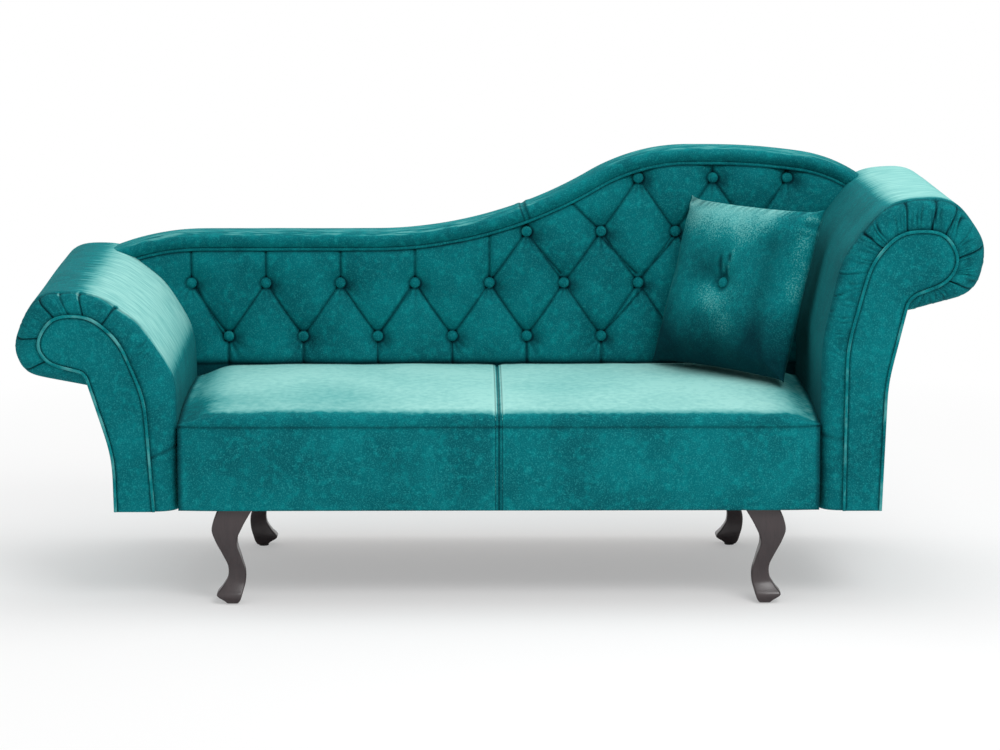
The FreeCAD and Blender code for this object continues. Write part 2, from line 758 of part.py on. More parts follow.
def roll_section(point, heading, thinner):
    up = Vec(-math.sin(heading), 0, math.cos(heading))
    base = Vec(point.x, 0, point.y)
    seam_y = crown_plane((base - up * roll_height).z) + seam_dip
    shape = [(seam_y + thinner, roll_height + under_seam), (seam_y - 13 + thinner, roll_height * 0.72),
             (seam_y - 16 + thinner, roll_height * 0.45), (seam_y - 9 + thinner, 8 + thinner * 0.7),
             (seam_y + 10, 1.5 + thinner), ((seam_y + rear) / 2 + 5, thinner),
             (rear - 16, 3.5 + thinner), (rear - thinner, 14 + thinner * 0.7),
             (rear - 3 - thinner, roll_height + under_seam)]
    return [base + Vec(0, y, 0) - up * below for y, below in shape]


def roll_form(thinner):
    return skinned([roll_section(p, h, thinner) for p, h in roll_stations()])


def make_roll():
    below = back_sheet(roll_height, 0, 0, rear + 1)
    spaces = arm_spaces()
    outer = roll_form(0).cut(below).cut(spaces)
    inner = roll_form(fabric).cut(below).cut(spaces)
    export("back_roll_foam", inner)
    export("back_roll_cover", outer.cut(inner))


# Pillow: seam outline with drawn-in sides and small ears, crowned to both faces.
pillow_turn = -48.5
pillow_lean = 18.5
pillow_foot = Vec(437.0, 22.0, 390.5)
pillow_steps = 4             # straight stretches along each side


# One level of the pillow: four sides that bow inwards between the corners.
def pillow_outline(corner_share, side_share, height):
    half_w = pillow_width / 2
    half_h = pillow_height / 2
    drawn = 14.0
    corners = [Vec(-half_w, -half_h, 0), Vec(half_w, -half_h, 0), Vec(half_w, half_h, 0), Vec(-half_w, half_h, 0)]
    middles = [Vec(0, -half_h + drawn, 0), Vec(half_w - drawn, 0, 0), Vec(0, half_h - drawn, 0),
               Vec(-half_w + drawn, 0, 0)]
    points = []
    for i in range(4):
        a = corners[i] * corner_share
        b = corners[(i + 1) % 4] * corner_share
        pull = middles[i] * side_share - (a + b) * 0.5
        for k in range(pillow_steps):
            share = k / pillow_steps
            points.append(a + (b - a) * share + pull * (4 * share * (1 - share)) + Vec(0, 0, height))
    return points


# Levels of one face: (corner share, side share, height as a share of half the thickness)
pillow_levels = [(1.0, 1.0, 0.0), (0.93, 0.985, 0.30), (0.84, 0.93, 0.56), (0.70, 0.80, 0.80),
                 (0.45, 0.53, 0.96), (0.16, 0.19, 1.0)]


def pillow_form(thinner):
    squeeze = 1 - 2 * thinner / pillow_height
    half = pillow_thickness / 2 - thinner
    upper = [pillow_outline(c * squeeze, m * squeeze, half * h) for c, m, h in pillow_levels]
    lower = [pillow_outline(c * squeeze, m * squeeze, -half * h) for c, m, h in reversed(pillow_levels[1:])]
    return skinned(lower + upper)


def pillow_stand(shape):
    shape.rotate(Vec(0, 0, 0), Vec(1, 0, 0), 90 - pillow_lean)
    shape.rotate(Vec(0, 0, 0), Vec(0, 0, 1), pillow_turn)
    turn = math.radians(pillow_turn)
    lean_back = math.radians(pillow_lean)
    up = Vec(-math.sin(turn) * math.sin(lean_back), math.cos(turn) * math.sin(lean_back), math.cos(lean_back))
    shape.translate(pillow_foot + up * (pillow_height / 2))
    return shape


dish_radius = 50.0
dish_depth = 15.0


# The dished places of the two buttons, one on each face.
def pillow_dishes(thinner):
    dishes = []
    for side in (-1, 1):
        axis = Vec(0, 0, side)
        face_z = side * (pillow_thickness / 2 - thinner)
        low = Vec(0, 0, face_z - side * dish_depth)
        high = Vec(0, 0, face_z + side)
        dishes.append(skinned([ring_points(low, button_radius + thinner, axis, button_sides),
                               ring_points(high, dish_radius, axis, button_sides)]))
    return group(dishes)


def pillow_button(side):
    seat = Vec(0, 0, side * (pillow_thickness / 2 - dish_depth))
    return covered_button(seat, Vec(0, 0, side))


def make_pillow():
    outer = pillow_form(0).cut(pillow_dishes(0))
    fill = pillow_form(2.5).cut(pillow_dishes(2.5))
    export("pillow_cover", pillow_stand(outer.cut(fill)))
    export("pillow_fill", pillow_stand(fill))
    export("pillow_buttons", pillow_stand(group([pillow_button(-1), pillow_button(1)])))


def main():
    os.makedirs("parts", exist_ok=True)
    make_legs()
    make_seat_frame()
    make_webbing()
    make_seat_cushion()
    make_dust_cover()
    make_arm("arm_low", -1, low_arm, low_facing, [(60, 380), (170, 520), (235, 500)])
    make_arm("arm_high", 1, high_arm, high_facing, [(60, 500), (170, 680), (235, 660)])
    export("arm_bolts", group(arm_bolt_bodies(-1) + arm_bolt_bodies(1)))
    export("back_bolts", group(back_bolt_bodies()))
    make_back_pads()
    make_back_frame()
    make_roll()
    make_pillow()


main()
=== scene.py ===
import json
import math

import bmesh
import bpy
import numpy as np
from mathutils import Matrix, Vector, noise


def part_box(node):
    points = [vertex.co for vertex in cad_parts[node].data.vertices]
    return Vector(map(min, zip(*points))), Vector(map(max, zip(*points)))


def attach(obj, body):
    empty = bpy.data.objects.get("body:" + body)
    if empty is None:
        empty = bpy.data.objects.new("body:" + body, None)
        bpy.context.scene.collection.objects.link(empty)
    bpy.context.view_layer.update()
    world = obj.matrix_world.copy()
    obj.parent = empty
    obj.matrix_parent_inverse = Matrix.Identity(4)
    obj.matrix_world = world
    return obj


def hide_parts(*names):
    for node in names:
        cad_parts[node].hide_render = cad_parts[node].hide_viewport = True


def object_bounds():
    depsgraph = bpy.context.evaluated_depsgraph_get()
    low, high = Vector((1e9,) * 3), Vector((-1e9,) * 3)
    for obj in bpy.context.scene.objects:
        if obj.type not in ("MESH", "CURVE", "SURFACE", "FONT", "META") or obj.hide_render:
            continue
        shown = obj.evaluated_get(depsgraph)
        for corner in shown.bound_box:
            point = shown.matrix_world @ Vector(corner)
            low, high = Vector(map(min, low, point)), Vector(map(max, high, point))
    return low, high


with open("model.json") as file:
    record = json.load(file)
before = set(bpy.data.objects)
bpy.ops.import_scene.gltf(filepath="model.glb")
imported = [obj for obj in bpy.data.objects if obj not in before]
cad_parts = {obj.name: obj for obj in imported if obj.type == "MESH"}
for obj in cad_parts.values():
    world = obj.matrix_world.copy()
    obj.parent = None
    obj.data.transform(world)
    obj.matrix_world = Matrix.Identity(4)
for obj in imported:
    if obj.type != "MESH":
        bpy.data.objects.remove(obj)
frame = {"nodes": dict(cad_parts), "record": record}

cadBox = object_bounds()

# Places that the pieces share, taken from the frame
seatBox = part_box("seat_cover")
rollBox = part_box("back_roll_cover")
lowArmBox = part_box("arm_low_cover")

seatHalf = -lowArmBox[1][0]            # middle to an arm's inner face
hemZ = seatBox[0][2]                   # underside of the upholstery
frontY = cadBox[0][1]
rearY = rollBox[1][1]


# Helpers

def smoothStep(t):
    t = np.clip(t, 0.0, 1.0)
    return t * t * (3 - 2 * t)


def bump(distance, width):
    return np.exp(-(distance / width) ** 2)


def smoothLine(points, count):
    # even points on a smooth line through a few given ones
    points = np.array(points, float)
    gaps = np.linalg.norm(np.diff(points, axis=0), axis=1)
    knots = np.concatenate([[0.0], np.cumsum(gaps)])
    slopes = np.gradient(points, knots, axis=0)
    spots = np.linspace(0.0, knots[-1], count)
    i = np.clip(np.searchsorted(knots, spots, side="right") - 1, 0, len(gaps) - 1)
    t = ((spots - knots[i]) / gaps[i])[:, None]
    span = gaps[i][:, None]
    startPart = (2 * t ** 3 - 3 * t ** 2 + 1) * points[i] + (t ** 3 - 2 * t ** 2 + t) * span * slopes[i]
    endPart = (3 * t ** 2 - 2 * t ** 3) * points[i + 1] + (t ** 3 - t ** 2) * span * slopes[i + 1]
    return startPart + endPart


def roundedOutline(corners, perArc, perLine):
    # points along a closed outline of corners (a, b, radius), given in millimetres
    arcs = []
    for i, (a, b, radius) in enumerate(corners):
        here = Vector((a, b))
        following = corners[(i + 1) % len(corners)]
        back = (Vector(corners[i - 1][:2]) - here).normalized()
        ahead = (Vector(following[:2]) - here).normalized()
        half = back.angle(ahead) / 2
        centre = here + (back + ahead).normalized() * (radius / math.sin(half))
        reach = radius / math.tan(half)
        arcs.append((here + back * reach, centre, here + ahead * reach, radius))
    points = []
    for i, (start, centre, end, radius) in enumerate(arcs):
        if radius > 0:
            fromCentre, toCentre = start - centre, end - centre
            angle = fromCentre.angle(toCentre)
            for k in range(perArc + 1):
                share = k / perArc
                blend = fromCentre * math.sin((1 - share) * angle) + toCentre * math.sin(share * angle)
                points.append(centre + blend / math.sin(angle))
        else:
            points.append(start)
        following = arcs[(i + 1) % len(arcs)][0]
        points += [end.lerp(following, k / (perLine + 1)) for k in range(1, perLine + 1)]
    return np.array([p[:] for p in points]) * 0.001


def outwardNormals(loop):
    # outward unit normals of a closed flat loop of points
    along = np.roll(loop, -1, axis=0) - np.roll(loop, 1, axis=0)
    normals = np.stack([along[:, 1], -along[:, 0]], axis=1)
    normals /= np.maximum(np.linalg.norm(normals, axis=1)[:, None], 1e-9)
    area = np.sum(loop[:, 0] * np.roll(loop[:, 1], -1) - np.roll(loop[:, 0], -1) * loop[:, 1])
    return normals if area > 0 else -normals


def looseNoise(points, scale, seed):
    # soft noise for slack cloth, one value for each point
    offset = Vector((seed * 3.7, seed * 1.9, seed * 5.3))
    return np.array([noise.noise(Vector(p) * scale + offset) for p in points])


def loopLengths(loop):
    # the steps round a closed loop, and how far along it each point lies
    steps = np.linalg.norm(np.roll(loop, -1, axis=0) - loop, axis=1)
    return steps, np.concatenate([[0.0], np.cumsum(steps)[:-1]])


def surface(x, y, z, paintedLight, paintedShade, most=0.9):
    # rows for wrapGrid, with the painted shade capped so it never goes black
    return np.column_stack([x, y, z, paintedLight, np.minimum(paintedShade, most)])


def newPiece(name, bm, smooth=True):
    mesh = bpy.data.meshes.new(name)
    bm.to_mesh(mesh)
    bm.free()
    piece = bpy.data.objects.new(name, mesh)
    bpy.context.scene.collection.objects.link(piece)
    if smooth:
        mesh.shade_smooth()
    return piece


def wrapGrid(across, along, place, closed=False, capped=False):
    # a grid of quads laid over a shape; place turns (column, row) numbers into points, which
    # may carry two more values: painted light, how far the colour is lifted towards pale, and painted
    # shade, how far it is darkened in seams, folds and shaded places
    bm = bmesh.new()
    bmesh.ops.create_grid(bm, x_segments=across, y_segments=along, size=1.0)
    flat = np.array([v.co[:2] for v in bm.verts])
    spread = flat.max(axis=0) - flat.min(axis=0)
    cells = np.rint((flat - flat.min(axis=0)) / spread * [across, along]).astype(int)
    rows = place(cells[:, 0], cells[:, 1])
    layers = [bm.verts.layers.float.new(name) for name in ("paintedLight", "paintedShade")[: rows.shape[1] - 3]]
    for vert, row in zip(bm.verts, rows):
        vert.co = row[:3]
        for layer, value in zip(layers, row[3:]):
            vert[layer] = value
    if closed:
        bmesh.ops.remove_doubles(bm, verts=bm.verts, dist=1e-6)
    if capped:
        bmesh.ops.holes_fill(bm, edges=bm.edges, sides=0)
    bmesh.ops.recalc_face_normals(bm, faces=bm.faces)
    return bm


def closeShell(bm):
    bmesh.ops.holes_fill(bm, edges=[e for e in bm.edges if e.is_boundary], sides=0)
    bmesh.ops.recalc_face_normals(bm, faces=bm.faces)


def paintLightOrShade(piece, towards, low, high, strength, kind="paintedLight", start=-9.0):
    # paints light or shade into the colour where a piece faces a direction behind "start": painted light makes
    # it pale, painted shade makes it dark
    count = len(piece.data.vertices)
    normals = np.empty(count * 3, np.float32)
    piece.data.vertices.foreach_get("normal", normals)
    facing = normals.reshape(count, 3) @ np.array(Vector(towards).normalized())
    layer = piece.data.attributes[kind]
    values = np.empty(count, np.float32)
    layer.data.foreach_get("value", values)
    places = np.empty(count * 3, np.float32)
    piece.data.vertices.foreach_get("co", places)
    behind = smoothStep((places[1::3] - start) / 0.05)
    values += strength * smoothStep((facing - low) / (high - low)) * behind
    layer.data.foreach_set("value", values)


def stitchRow(path, radius=0.00045, length=0.0048, step=0.0075):
    # short thread stitches that follow a path
    path = np.array(path, float)
    steps = np.linalg.norm(np.diff(path, axis=0), axis=1)
    spots = np.concatenate([[0.0], np.cumsum(steps)])
    bm = bmesh.new()
    for start in np.arange(step / 2, spots[-1] - length, step):
        ends = [Vector([np.interp(at, spots, axis) for axis in path.T]) for at in (start, start + length)]
        turn = (ends[1] - ends[0]).to_track_quat("Z", "Y").to_matrix().to_4x4()
        bmesh.ops.create_cone(bm, cap_ends=True, segments=6, radius1=radius, radius2=radius, depth=length,
                              matrix=Matrix.Translation((ends[0] + ends[1]) / 2) @ turn)
    return bm


def tubeAlong(path, radius, sides):
    # a round cord along a list of points, closed at both ends
    path = np.array(path, float)
    along = np.gradient(path, axis=0)
    along /= np.linalg.norm(along, axis=1)[:, None]
    across = np.cross(along, (0.0, 1.0, 0.0))
    across /= np.linalg.norm(across, axis=1)[:, None]
    other = np.cross(across, along)

    def place(column, row):
        angle = column * 2 * math.pi / sides
        turned = across[row] * np.cos(angle)[:, None] + other[row] * np.sin(angle)[:, None]
        return path[row] + radius * turned

    return wrapGrid(sides, len(path) - 1, place, closed=True, capped=True)


def merge(parts):
    # several bmeshes as one
    whole = bmesh.new()
    for bm in parts:
        mesh = bpy.data.meshes.new("part")
        bm.to_mesh(mesh)
        bm.free()
        whole.from_mesh(mesh)
        bpy.data.meshes.remove(mesh)
    return whole


def fit(piece, material, body="chaise", nodes=()):
    piece.data.materials.append(material)
    if nodes:
        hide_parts(*nodes)
    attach(piece, body)


# Materials

def newMaterial(name):
    material = bpy.data.materials.new(name)
    material.use_nodes = True
    tree = material.node_tree
    tree.nodes.clear()
    out = tree.nodes.new("ShaderNodeOutputMaterial")
    shader = tree.nodes.new("ShaderNodeBsdfPrincipled")
    tree.links.new(shader.outputs["BSDF"], out.inputs["Surface"])
    coords = tree.nodes.new("ShaderNodeTexCoord")
    return material, tree, shader, coords


def setInputs(node, values):
    for name, value in values.items():
        node.inputs[name].default_value = value


def addNode(tree, kind, values=()):
    node = tree.nodes.new("ShaderNode" + kind)
    setInputs(node, dict(values))
    return node


def addNoise(tree, coords, scale, detail=2.0, stretch=(1, 1, 1)):
    mapping = addNode(tree, "Mapping", {"Scale": stretch})
    texture = addNode(tree, "TexNoise", {"Scale": scale, "Detail": detail})
    tree.links.new(coords.outputs["Object"], mapping.inputs["Vector"])
    tree.links.new(mapping.outputs["Vector"], texture.inputs["Vector"])
    return texture.outputs["Fac"]


def addRange(tree, value, low, high, toLow, toHigh):
    limits = {"From Min": low, "From Max": high, "To Min": toLow, "To Max": toHigh}
    node = addNode(tree, "MapRange", limits)
    tree.links.new(value, node.inputs["Value"])
    return node.outputs["Result"]


def addMix(tree, factor, first, second):
    node = addNode(tree, "Mix")
    node.data_type = "RGBA"
    for socket, value in ((node.inputs[6], first), (node.inputs[7], second)):
        if isinstance(value, tuple):
            socket.default_value = (*value, 1.0)
        else:
            tree.links.new(value, socket)
    tree.links.new(factor, node.inputs[0])
    return node.outputs[2]


def addBump(tree, shader, height, strength, distance):
    node = addNode(tree, "Bump", {"Strength": strength, "Distance": distance})
    tree.links.new(height, node.inputs["Height"])
    tree.links.new(node.outputs["Normal"], shader.inputs["Normal"])


def addAttribute(tree, name):
    node = addNode(tree, "Attribute")
    node.attribute_name = name
    return node.outputs["Fac"]


def addMath(tree, operation, first, second):
    node = addNode(tree, "Math")
    node.operation = operation
    for socket, value in zip(node.inputs, (first, second)):
        if isinstance(value, float):
            socket.default_value = value
        else:
            tree.links.new(value, socket)
    return node.outputs[0]


velvetLook = {
    "deep": (0.0006, 0.100, 0.118),
    "mid": (0.0010, 0.150, 0.170),
    "light": (0.004, 0.260, 0.275),
    # tone of the random flecks, also used for a painted sheen at grazing view angles
    "fleckAndSheen": (0.050, 0.520, 0.520),
    # the next two are tones of painted light, and the one after them is the tone of painted shade
    "paintedLitTone": (0.008, 0.31, 0.32),
    "paintedPaleTone": (0.36, 0.71, 0.66),
    "paintedDark": (0.0004, 0.012, 0.020),
    "blotches": 9.0,            # noise scales, from wide patches to single tufts
    "mottle": 70.0,
    "strokes": 150.0,
    "pile": 420.0,
    "flecks": 430.0,
    "gloss": {"Specular IOR Level": 0.06, "Sheen Weight": 0.05, "Sheen Roughness": 0.35,
              "Sheen Tint": (0.15, 0.9, 0.9, 1.0)},
    "relief": (0.5, 0.0011),
}


def velvetMaterial(name, extraPaintedLight=0.0, streak=0.20, stretch=(0.16, 1, 0.16), grain=0.30):
    # velvet of a deep tone with random blotches, mottle and flecks, lifted pale by painted light, darkened by
    # painted shade in the seams, folds and shaded places, and given a painted sheen at grazing view angles
    material, tree, shader, coords = newMaterial(name)
    look = velvetLook
    blotch = addRange(tree, addNoise(tree, coords, look["blotches"], 4.0), 0.38, 0.62, 0.0, 1.0)
    strokes = addNoise(tree, coords, look["strokes"], 3.0, stretch)
    mottle = addNoise(tree, coords, look["mottle"], 3.0)
    flecks = addNoise(tree, coords, look["flecks"], 3.0)
    # painted light from the attribute, plus the same extra painted light over the whole material, broken up by
    # strokes
    paintedLight = addMath(tree, "ADD", addAttribute(tree, "paintedLight"), extraPaintedLight)
    streakedPaintedLight = addMath(tree, "ADD", paintedLight, addRange(tree, strokes, 0.3, 0.7, -streak, streak))
    share = addMath(tree, "MULTIPLY", addRange(tree, streakedPaintedLight, 0.05, 0.95, 0.0, 1.0),
                    addRange(tree, paintedLight, 0.0, 0.15, 0.0, 1.0))
    # painted sheen: the colour turns towards the fleck tone at grazing view angles
    facing = addNode(tree, "LayerWeight", {"Blend": 0.5})
    body = addMix(tree, blotch, look["deep"], look["mid"])
    # random tone from the mottle and flecks, then painted light in two steps, painted sheen, and painted shade
    # from the attribute
    for factor, colour in ((addRange(tree, mottle, 0.50, 0.72, 0.0, 0.45), "light"),
                           (addRange(tree, flecks, 0.50, 0.74, 0.0, grain), "fleckAndSheen"),
                           (addRange(tree, share, 0.0, 0.45, 0.0, 0.85), "paintedLitTone"),
                           (addRange(tree, share, 0.16, 0.96, 0.0, 1.0), "paintedPaleTone"),
                           (addRange(tree, facing.outputs["Facing"], 0.70, 1.0, 0.0, 0.16), "fleckAndSheen"),
                           (addAttribute(tree, "paintedShade"), "paintedDark")):
        body = addMix(tree, factor, body, look[colour])
    tree.links.new(body, shader.inputs["Base Color"])
    tree.links.new(addRange(tree, mottle, 0.3, 0.7, 0.78, 0.92), shader.inputs["Roughness"])
    setInputs(shader, look["gloss"])
    pile = addMath(tree, "ADD", addNoise(tree, coords, look["pile"], 2.0), mottle)
    addBump(tree, shader, pile, *look["relief"])
    return material


velvet = velvetMaterial("velvet")
# the piping's velvet takes extra painted light all over, a painted highlight on the cord
pipingVelvetPaintedLight = velvetMaterial("velvet over cord", 0.17)
seatVelvet = velvetMaterial("seat velvet", streak=0.10, stretch=(0.5, 0.5, 0.5), grain=0.34)
pillowVelvet = velvetMaterial("pillow velvet", streak=0.17, stretch=(2.4, 2.4, 2.4), grain=0.36)


def grainedMaterial(name, grainShape, colours, roughness, relief=None):
    # one noise that mixes two colours
    material, tree, shader, coords = newMaterial(name)
    grain = addNoise(tree, coords, *grainShape)
    tree.links.new(addMix(tree, grain, *colours), shader.inputs["Base Color"])
    shader.inputs["Roughness"].default_value = roughness
    if relief:
        addBump(tree, shader, grain, *relief)
    return material


def stainedWood():
    material, tree, shader, coords = newMaterial("dark stained wood")
    grain = addNoise(tree, coords, 90.0, 6.0, (1, 1, 0.08))
    pores = addNoise(tree, coords, 420.0, 2.0, (1, 1, 0.1))
    body = addMix(tree, grain, (0.018, 0.011, 0.013), (0.046, 0.030, 0.032))
    body = addMix(tree, addRange(tree, pores, 0.55, 0.75, 0.0, 0.5), body, (0.012, 0.008, 0.009))
    tree.links.new(body, shader.inputs["Base Color"])
    tree.links.new(addRange(tree, grain, 0.3, 0.7, 0.28, 0.42), shader.inputs["Roughness"])
    setInputs(shader, {"Coat Weight": 0.25, "Coat Roughness": 0.25})
    addBump(tree, shader, pores, 0.15, 0.0004)
    return material


def wovenCloth(name, dark, light, scale):
    material, tree, shader, coords = newMaterial(name)
    weave = addNode(tree, "TexWave", {"Scale": scale, "Distortion": 0.6})
    tree.links.new(coords.outputs["Object"], weave.inputs["Vector"])
    both = addMix(tree, addNoise(tree, coords, scale * 6, 3.0), dark, light)
    threads = addRange(tree, weave.outputs["Fac"], 0, 1, 0, 0.5)
    tree.links.new(addMix(tree, threads, both, dark), shader.inputs["Base Color"])
    shader.inputs["Roughness"].default_value = 0.9
    addBump(tree, shader, weave.outputs["Fac"], 0.3, 0.0005)
    return material


def platedSteel():
    material, tree, shader, coords = newMaterial("zinc plated steel")
    spangle = addNoise(tree, coords, 200.0, 3.0)
    body = addMix(tree, spangle, (0.42, 0.43, 0.45), (0.62, 0.62, 0.62))
    tree.links.new(body, shader.inputs["Base Color"])
    tree.links.new(addRange(tree, spangle, 0.3, 0.7, 0.3, 0.5), shader.inputs["Roughness"])
    shader.inputs["Metallic"].default_value = 1.0
    return material


thread = grainedMaterial("topstitch thread", (1200.0, 1.0), ((0.03, 0.32, 0.31), (0.12, 0.5, 0.46)), 0.6)
legWood = stainedWood()
nodeFinish = {
    "velvet": velvet,
    "piping": pipingVelvetPaintedLight,
    "foam": wovenCloth("cut foam", (0.66, 0.6, 0.44), (0.82, 0.78, 0.62), 260.0),
    "webbing": wovenCloth("elastic webbing", (0.02, 0.02, 0.02), (0.14, 0.13, 0.12), 350.0),
    "pad": wovenCloth("pressed felt", (0.3, 0.28, 0.25), (0.5, 0.48, 0.44), 180.0),
    "dust_cloth": wovenCloth("dust cloth", (0.015, 0.015, 0.016), (0.05, 0.05, 0.05), 500.0),
    "leg_wood": legWood,
    "frame_wood": grainedMaterial("sawn softwood", (30.0, 6.0, (0.15, 1, 1)),
                                  ((0.44, 0.29, 0.15), (0.68, 0.52, 0.33)), 0.75, (0.3, 0.0008)),
    "steel": platedSteel(),
    "card": wovenCloth("upholstery card", (0.4, 0.3, 0.2), (0.55, 0.45, 0.32), 90.0),
    "plastic": grainedMaterial("moulded nylon", (700.0, 2.0),
                               ((0.02, 0.02, 0.02), (0.04, 0.04, 0.04)), 0.55, (0.2, 0.0003)),
}
for entry in frame["record"]["subparts"]:
    slots = frame["nodes"][entry["node"]].data.materials
    slots.clear()
    slots.append(nodeFinish[entry["material_slot"]])
print("materials ready")


# The back's top line: stretches of (length or radius, turn in degrees), left to right

backLine = {
    "startX": -0.790,
    "startHeading": 22.33,
    "flatHeight": 0.6517,
    "stretches": [("arc", 0.500, -22.33), ("line", 0.348, 0.0), ("arc", 0.882, 30.1), ("arc", 0.403, -30.1),
                  ("line", 0.038, 0.0), ("arc", 1.345, -8.12), ("arc", 0.300, -31.0)],
    "rollHeight": 0.033,
    "crownY": 0.187,            # front of the tufts at seat level
    "seatLevel": 0.392,
    "tilt": 0.12,               # the back leans this much per unit of height
}


def topLinePoints(below, spacing=0.004):
    # x, z and heading along the line that runs parallel to the top line, a distance under it
    heading = math.radians(backLine["startHeading"])
    start = backLine["stretches"][0][1]
    x, z = backLine["startX"], backLine["flatHeight"] - start * (1 - math.cos(heading))
    rows = []
    for kind, size, turn in backLine["stretches"]:
        length = size if kind == "line" else size * math.radians(abs(turn))
        count = max(2, round(length / spacing))
        for k in range(count):
            rows.append((x + math.sin(heading) * below, z - math.cos(heading) * below, heading))
            bend = math.radians(turn) / count
            middle = heading + bend / 2
            chord = length / count if kind == "line" else 2 * size * math.sin(abs(bend) / 2)
            x += chord * math.cos(middle)
            z += chord * math.sin(middle)
            heading += bend
    rows.append((x + math.sin(heading) * below, z - math.cos(heading) * below, heading))
    return np.array(rows)


def crownPlane(z):
    return backLine["crownY"] + (z - backLine["seatLevel"]) * backLine["tilt"]


# The tufted back

tufting = {
    "firstColumn": -0.775,
    "columnStep": 0.076,
    "columnCount": 21,
    "rowsEven": (0.548, 0.760),
    "rowsOdd": (0.440, 0.652),
    "bottom": 0.384,            # the seat's line
    "hidden": 0.345,            # the cover goes on down behind the seat
    "grid": 0.0025,
    "length": 0.40,             # of a column of the grid, near enough for its count
    "backing": 0.040,           # how far the shell goes back behind the crown plane
    "buttonDip": 0.020,         # how deep a button pulls the cover in
    "buttonSpread": 0.027,
    "pleatDip": 0.0050,         # the sharp fold
    "pleatWidth": 0.0026,
    "puffDip": 0.009,           # the soft fall towards a fold
    "puffWidth": 0.020,
    "seamDip": 0.014,
    "lean": {12: -0.042, 13: -0.062},   # feet of the slanted folds on the rise
    # second folds where the cover is doubled over
    "tucks": [(0.068, 0.640, 0.132, 0.566), (0.301, 0.538, 0.222, 0.452), (-0.553, 0.432, -0.610, 0.536),
              (0.215, 0.638, 0.286, 0.566), (-0.176, 0.540, -0.236, 0.452), (0.372, 0.646, 0.300, 0.566)],
    "foldReach": 0.64,                  # beyond it the arms hide the back
    "endReach": 0.045,                  # how far past it the back's lower part runs into the arms
    "shade": (0.017, -0.007),           # where painted shade is put beside each button's hollow
}


def tuftRows():
    # heights of the buttons in each column
    seam = topLinePoints(backLine["rollHeight"])
    rows = []
    for j in range(tufting["columnCount"]):
        x = tufting["firstColumn"] + j * tufting["columnStep"]
        heights = tufting["rowsEven"] if j % 2 == 0 else tufting["rowsOdd"]
        room = np.interp(x, seam[:, 0], seam[:, 1]) - 0.012
        rows.append((x, [z for z in heights if z < room or z == heights[0]]))
    return rows


def tuftFolds(rows):
    # straight folds between neighbouring buttons, down to the seat and up to the roll's seam
    seam = topLinePoints(backLine["rollHeight"])
    folds = []
    for (x0, heights0), (x1, heights1) in zip(rows, rows[1:]):
        for z0 in heights0:
            folds += [(x0, z0, x1, z1) for z1 in heights1 if abs(z1 - z0) < 0.115]
    for j, (x, heights) in enumerate(rows):
        if j % 2 == 1:
            folds.append((x, heights[0], x, tufting["bottom"] - 0.02))
        around = [rows[k][1][-1] for k in (j - 1, j + 1) if 0 <= k < len(rows)]
        if min(around) <= heights[-1]:
            foot = x + tufting["lean"].get(j, 0.0)
            folds.append((x, heights[-1], foot, np.interp(foot, seam[:, 0], seam[:, 1])))
    shown = [fold for fold in folds if max(abs(fold[0]), abs(fold[2])) < tufting["foldReach"]]
    return np.array(shown + tufting["tucks"])


def nearestFold(x, z, folds):
    # distance to the nearest fold, signed by its side
    best = np.full(x.shape, 9.0)
    signed = np.full(x.shape, 9.0)
    for x0, z0, x1, z1 in folds:
        dx, dz = x1 - x0, z1 - z0
        t = np.clip(((x - x0) * dx + (z - z0) * dz) / (dx * dx + dz * dz), 0.0, 1.0)
        gap = np.hypot(x - x0 - t * dx, z - z0 - t * dz)
        side = np.sign((x - x0) * dz - (z - z0) * dx)
        closer = gap < best
        best = np.where(closer, gap, best)
        signed = np.where(closer, gap * side, signed)
    return best, signed


def tuftDip(x, z, seamZ):
    # how far the cover lies behind the crown plane, with painted light and painted shade for its folds and
    # buttons
    rows = tuftRows()
    gap, signed = nearestFold(x, z, tuftFolds(rows))
    dip = tufting["pleatDip"] * bump(gap, tufting["pleatWidth"])
    dip += tufting["puffDip"] * np.exp(-gap / tufting["puffWidth"])
    dip -= 0.0014 * bump(signed - 0.0060, 0.0035)
    # painted shade in each fold, with painted highlights beside it
    paintedShade = 0.72 * bump(gap, 0.0015)
    paintedLight = 0.085 * bump(signed - 0.0046, 0.0020) + 0.03 * bump(signed + 0.006, 0.003)
    for number, (column, heights) in enumerate(rows):
        for level, height in enumerate(heights):
            away = np.hypot(x - column, z - height)
            dip += tufting["buttonDip"] * np.exp(-(away / tufting["buttonSpread"]) ** 1.5)
            angle = np.arctan2(x - column, height - z)          # zero straight down
            seed = number * 2.3 + level * 1.7
            spread = bump(angle - 0.35 * math.sin(seed), 0.85)
            reach = smoothStep((away - 0.010) / 0.008) * bump(away - 0.018, 0.024 + 0.010 * math.cos(seed))
            wave = np.cos(angle * 12.0 + seed) * spread * reach
            dip += 0.0021 * wave
            # painted shade in the gathers and round each button's base, painted light on the gathers' ridges
            paintedShade += 0.45 * np.maximum(wave - 0.25, 0) + 0.55 * bump(away - 0.0122, 0.0030)
            paintedLight += 0.16 * np.maximum(-wave - 0.2, 0)
            # a patch of painted shade beside each button's hollow
            shadeX, shadeZ = tufting["shade"]
            paintedShade += 0.58 * bump(np.hypot(x - column - shadeX, z - height - shadeZ), 0.015)
    under = np.maximum(seamZ - z, 0)
    dip += tufting["seamDip"] * np.exp(-under / 0.011)
    dip += 0.010 * np.exp(-np.maximum(z - tufting["bottom"], 0) / 0.008)
    # painted shade under the roll's seam and along the seat
    paintedShade += 0.9 * bump(under - 0.0040, 0.0030) + 0.75 * np.exp(-np.maximum(z - 0.388, 0) / 0.006)
    return dip, paintedLight, paintedShade


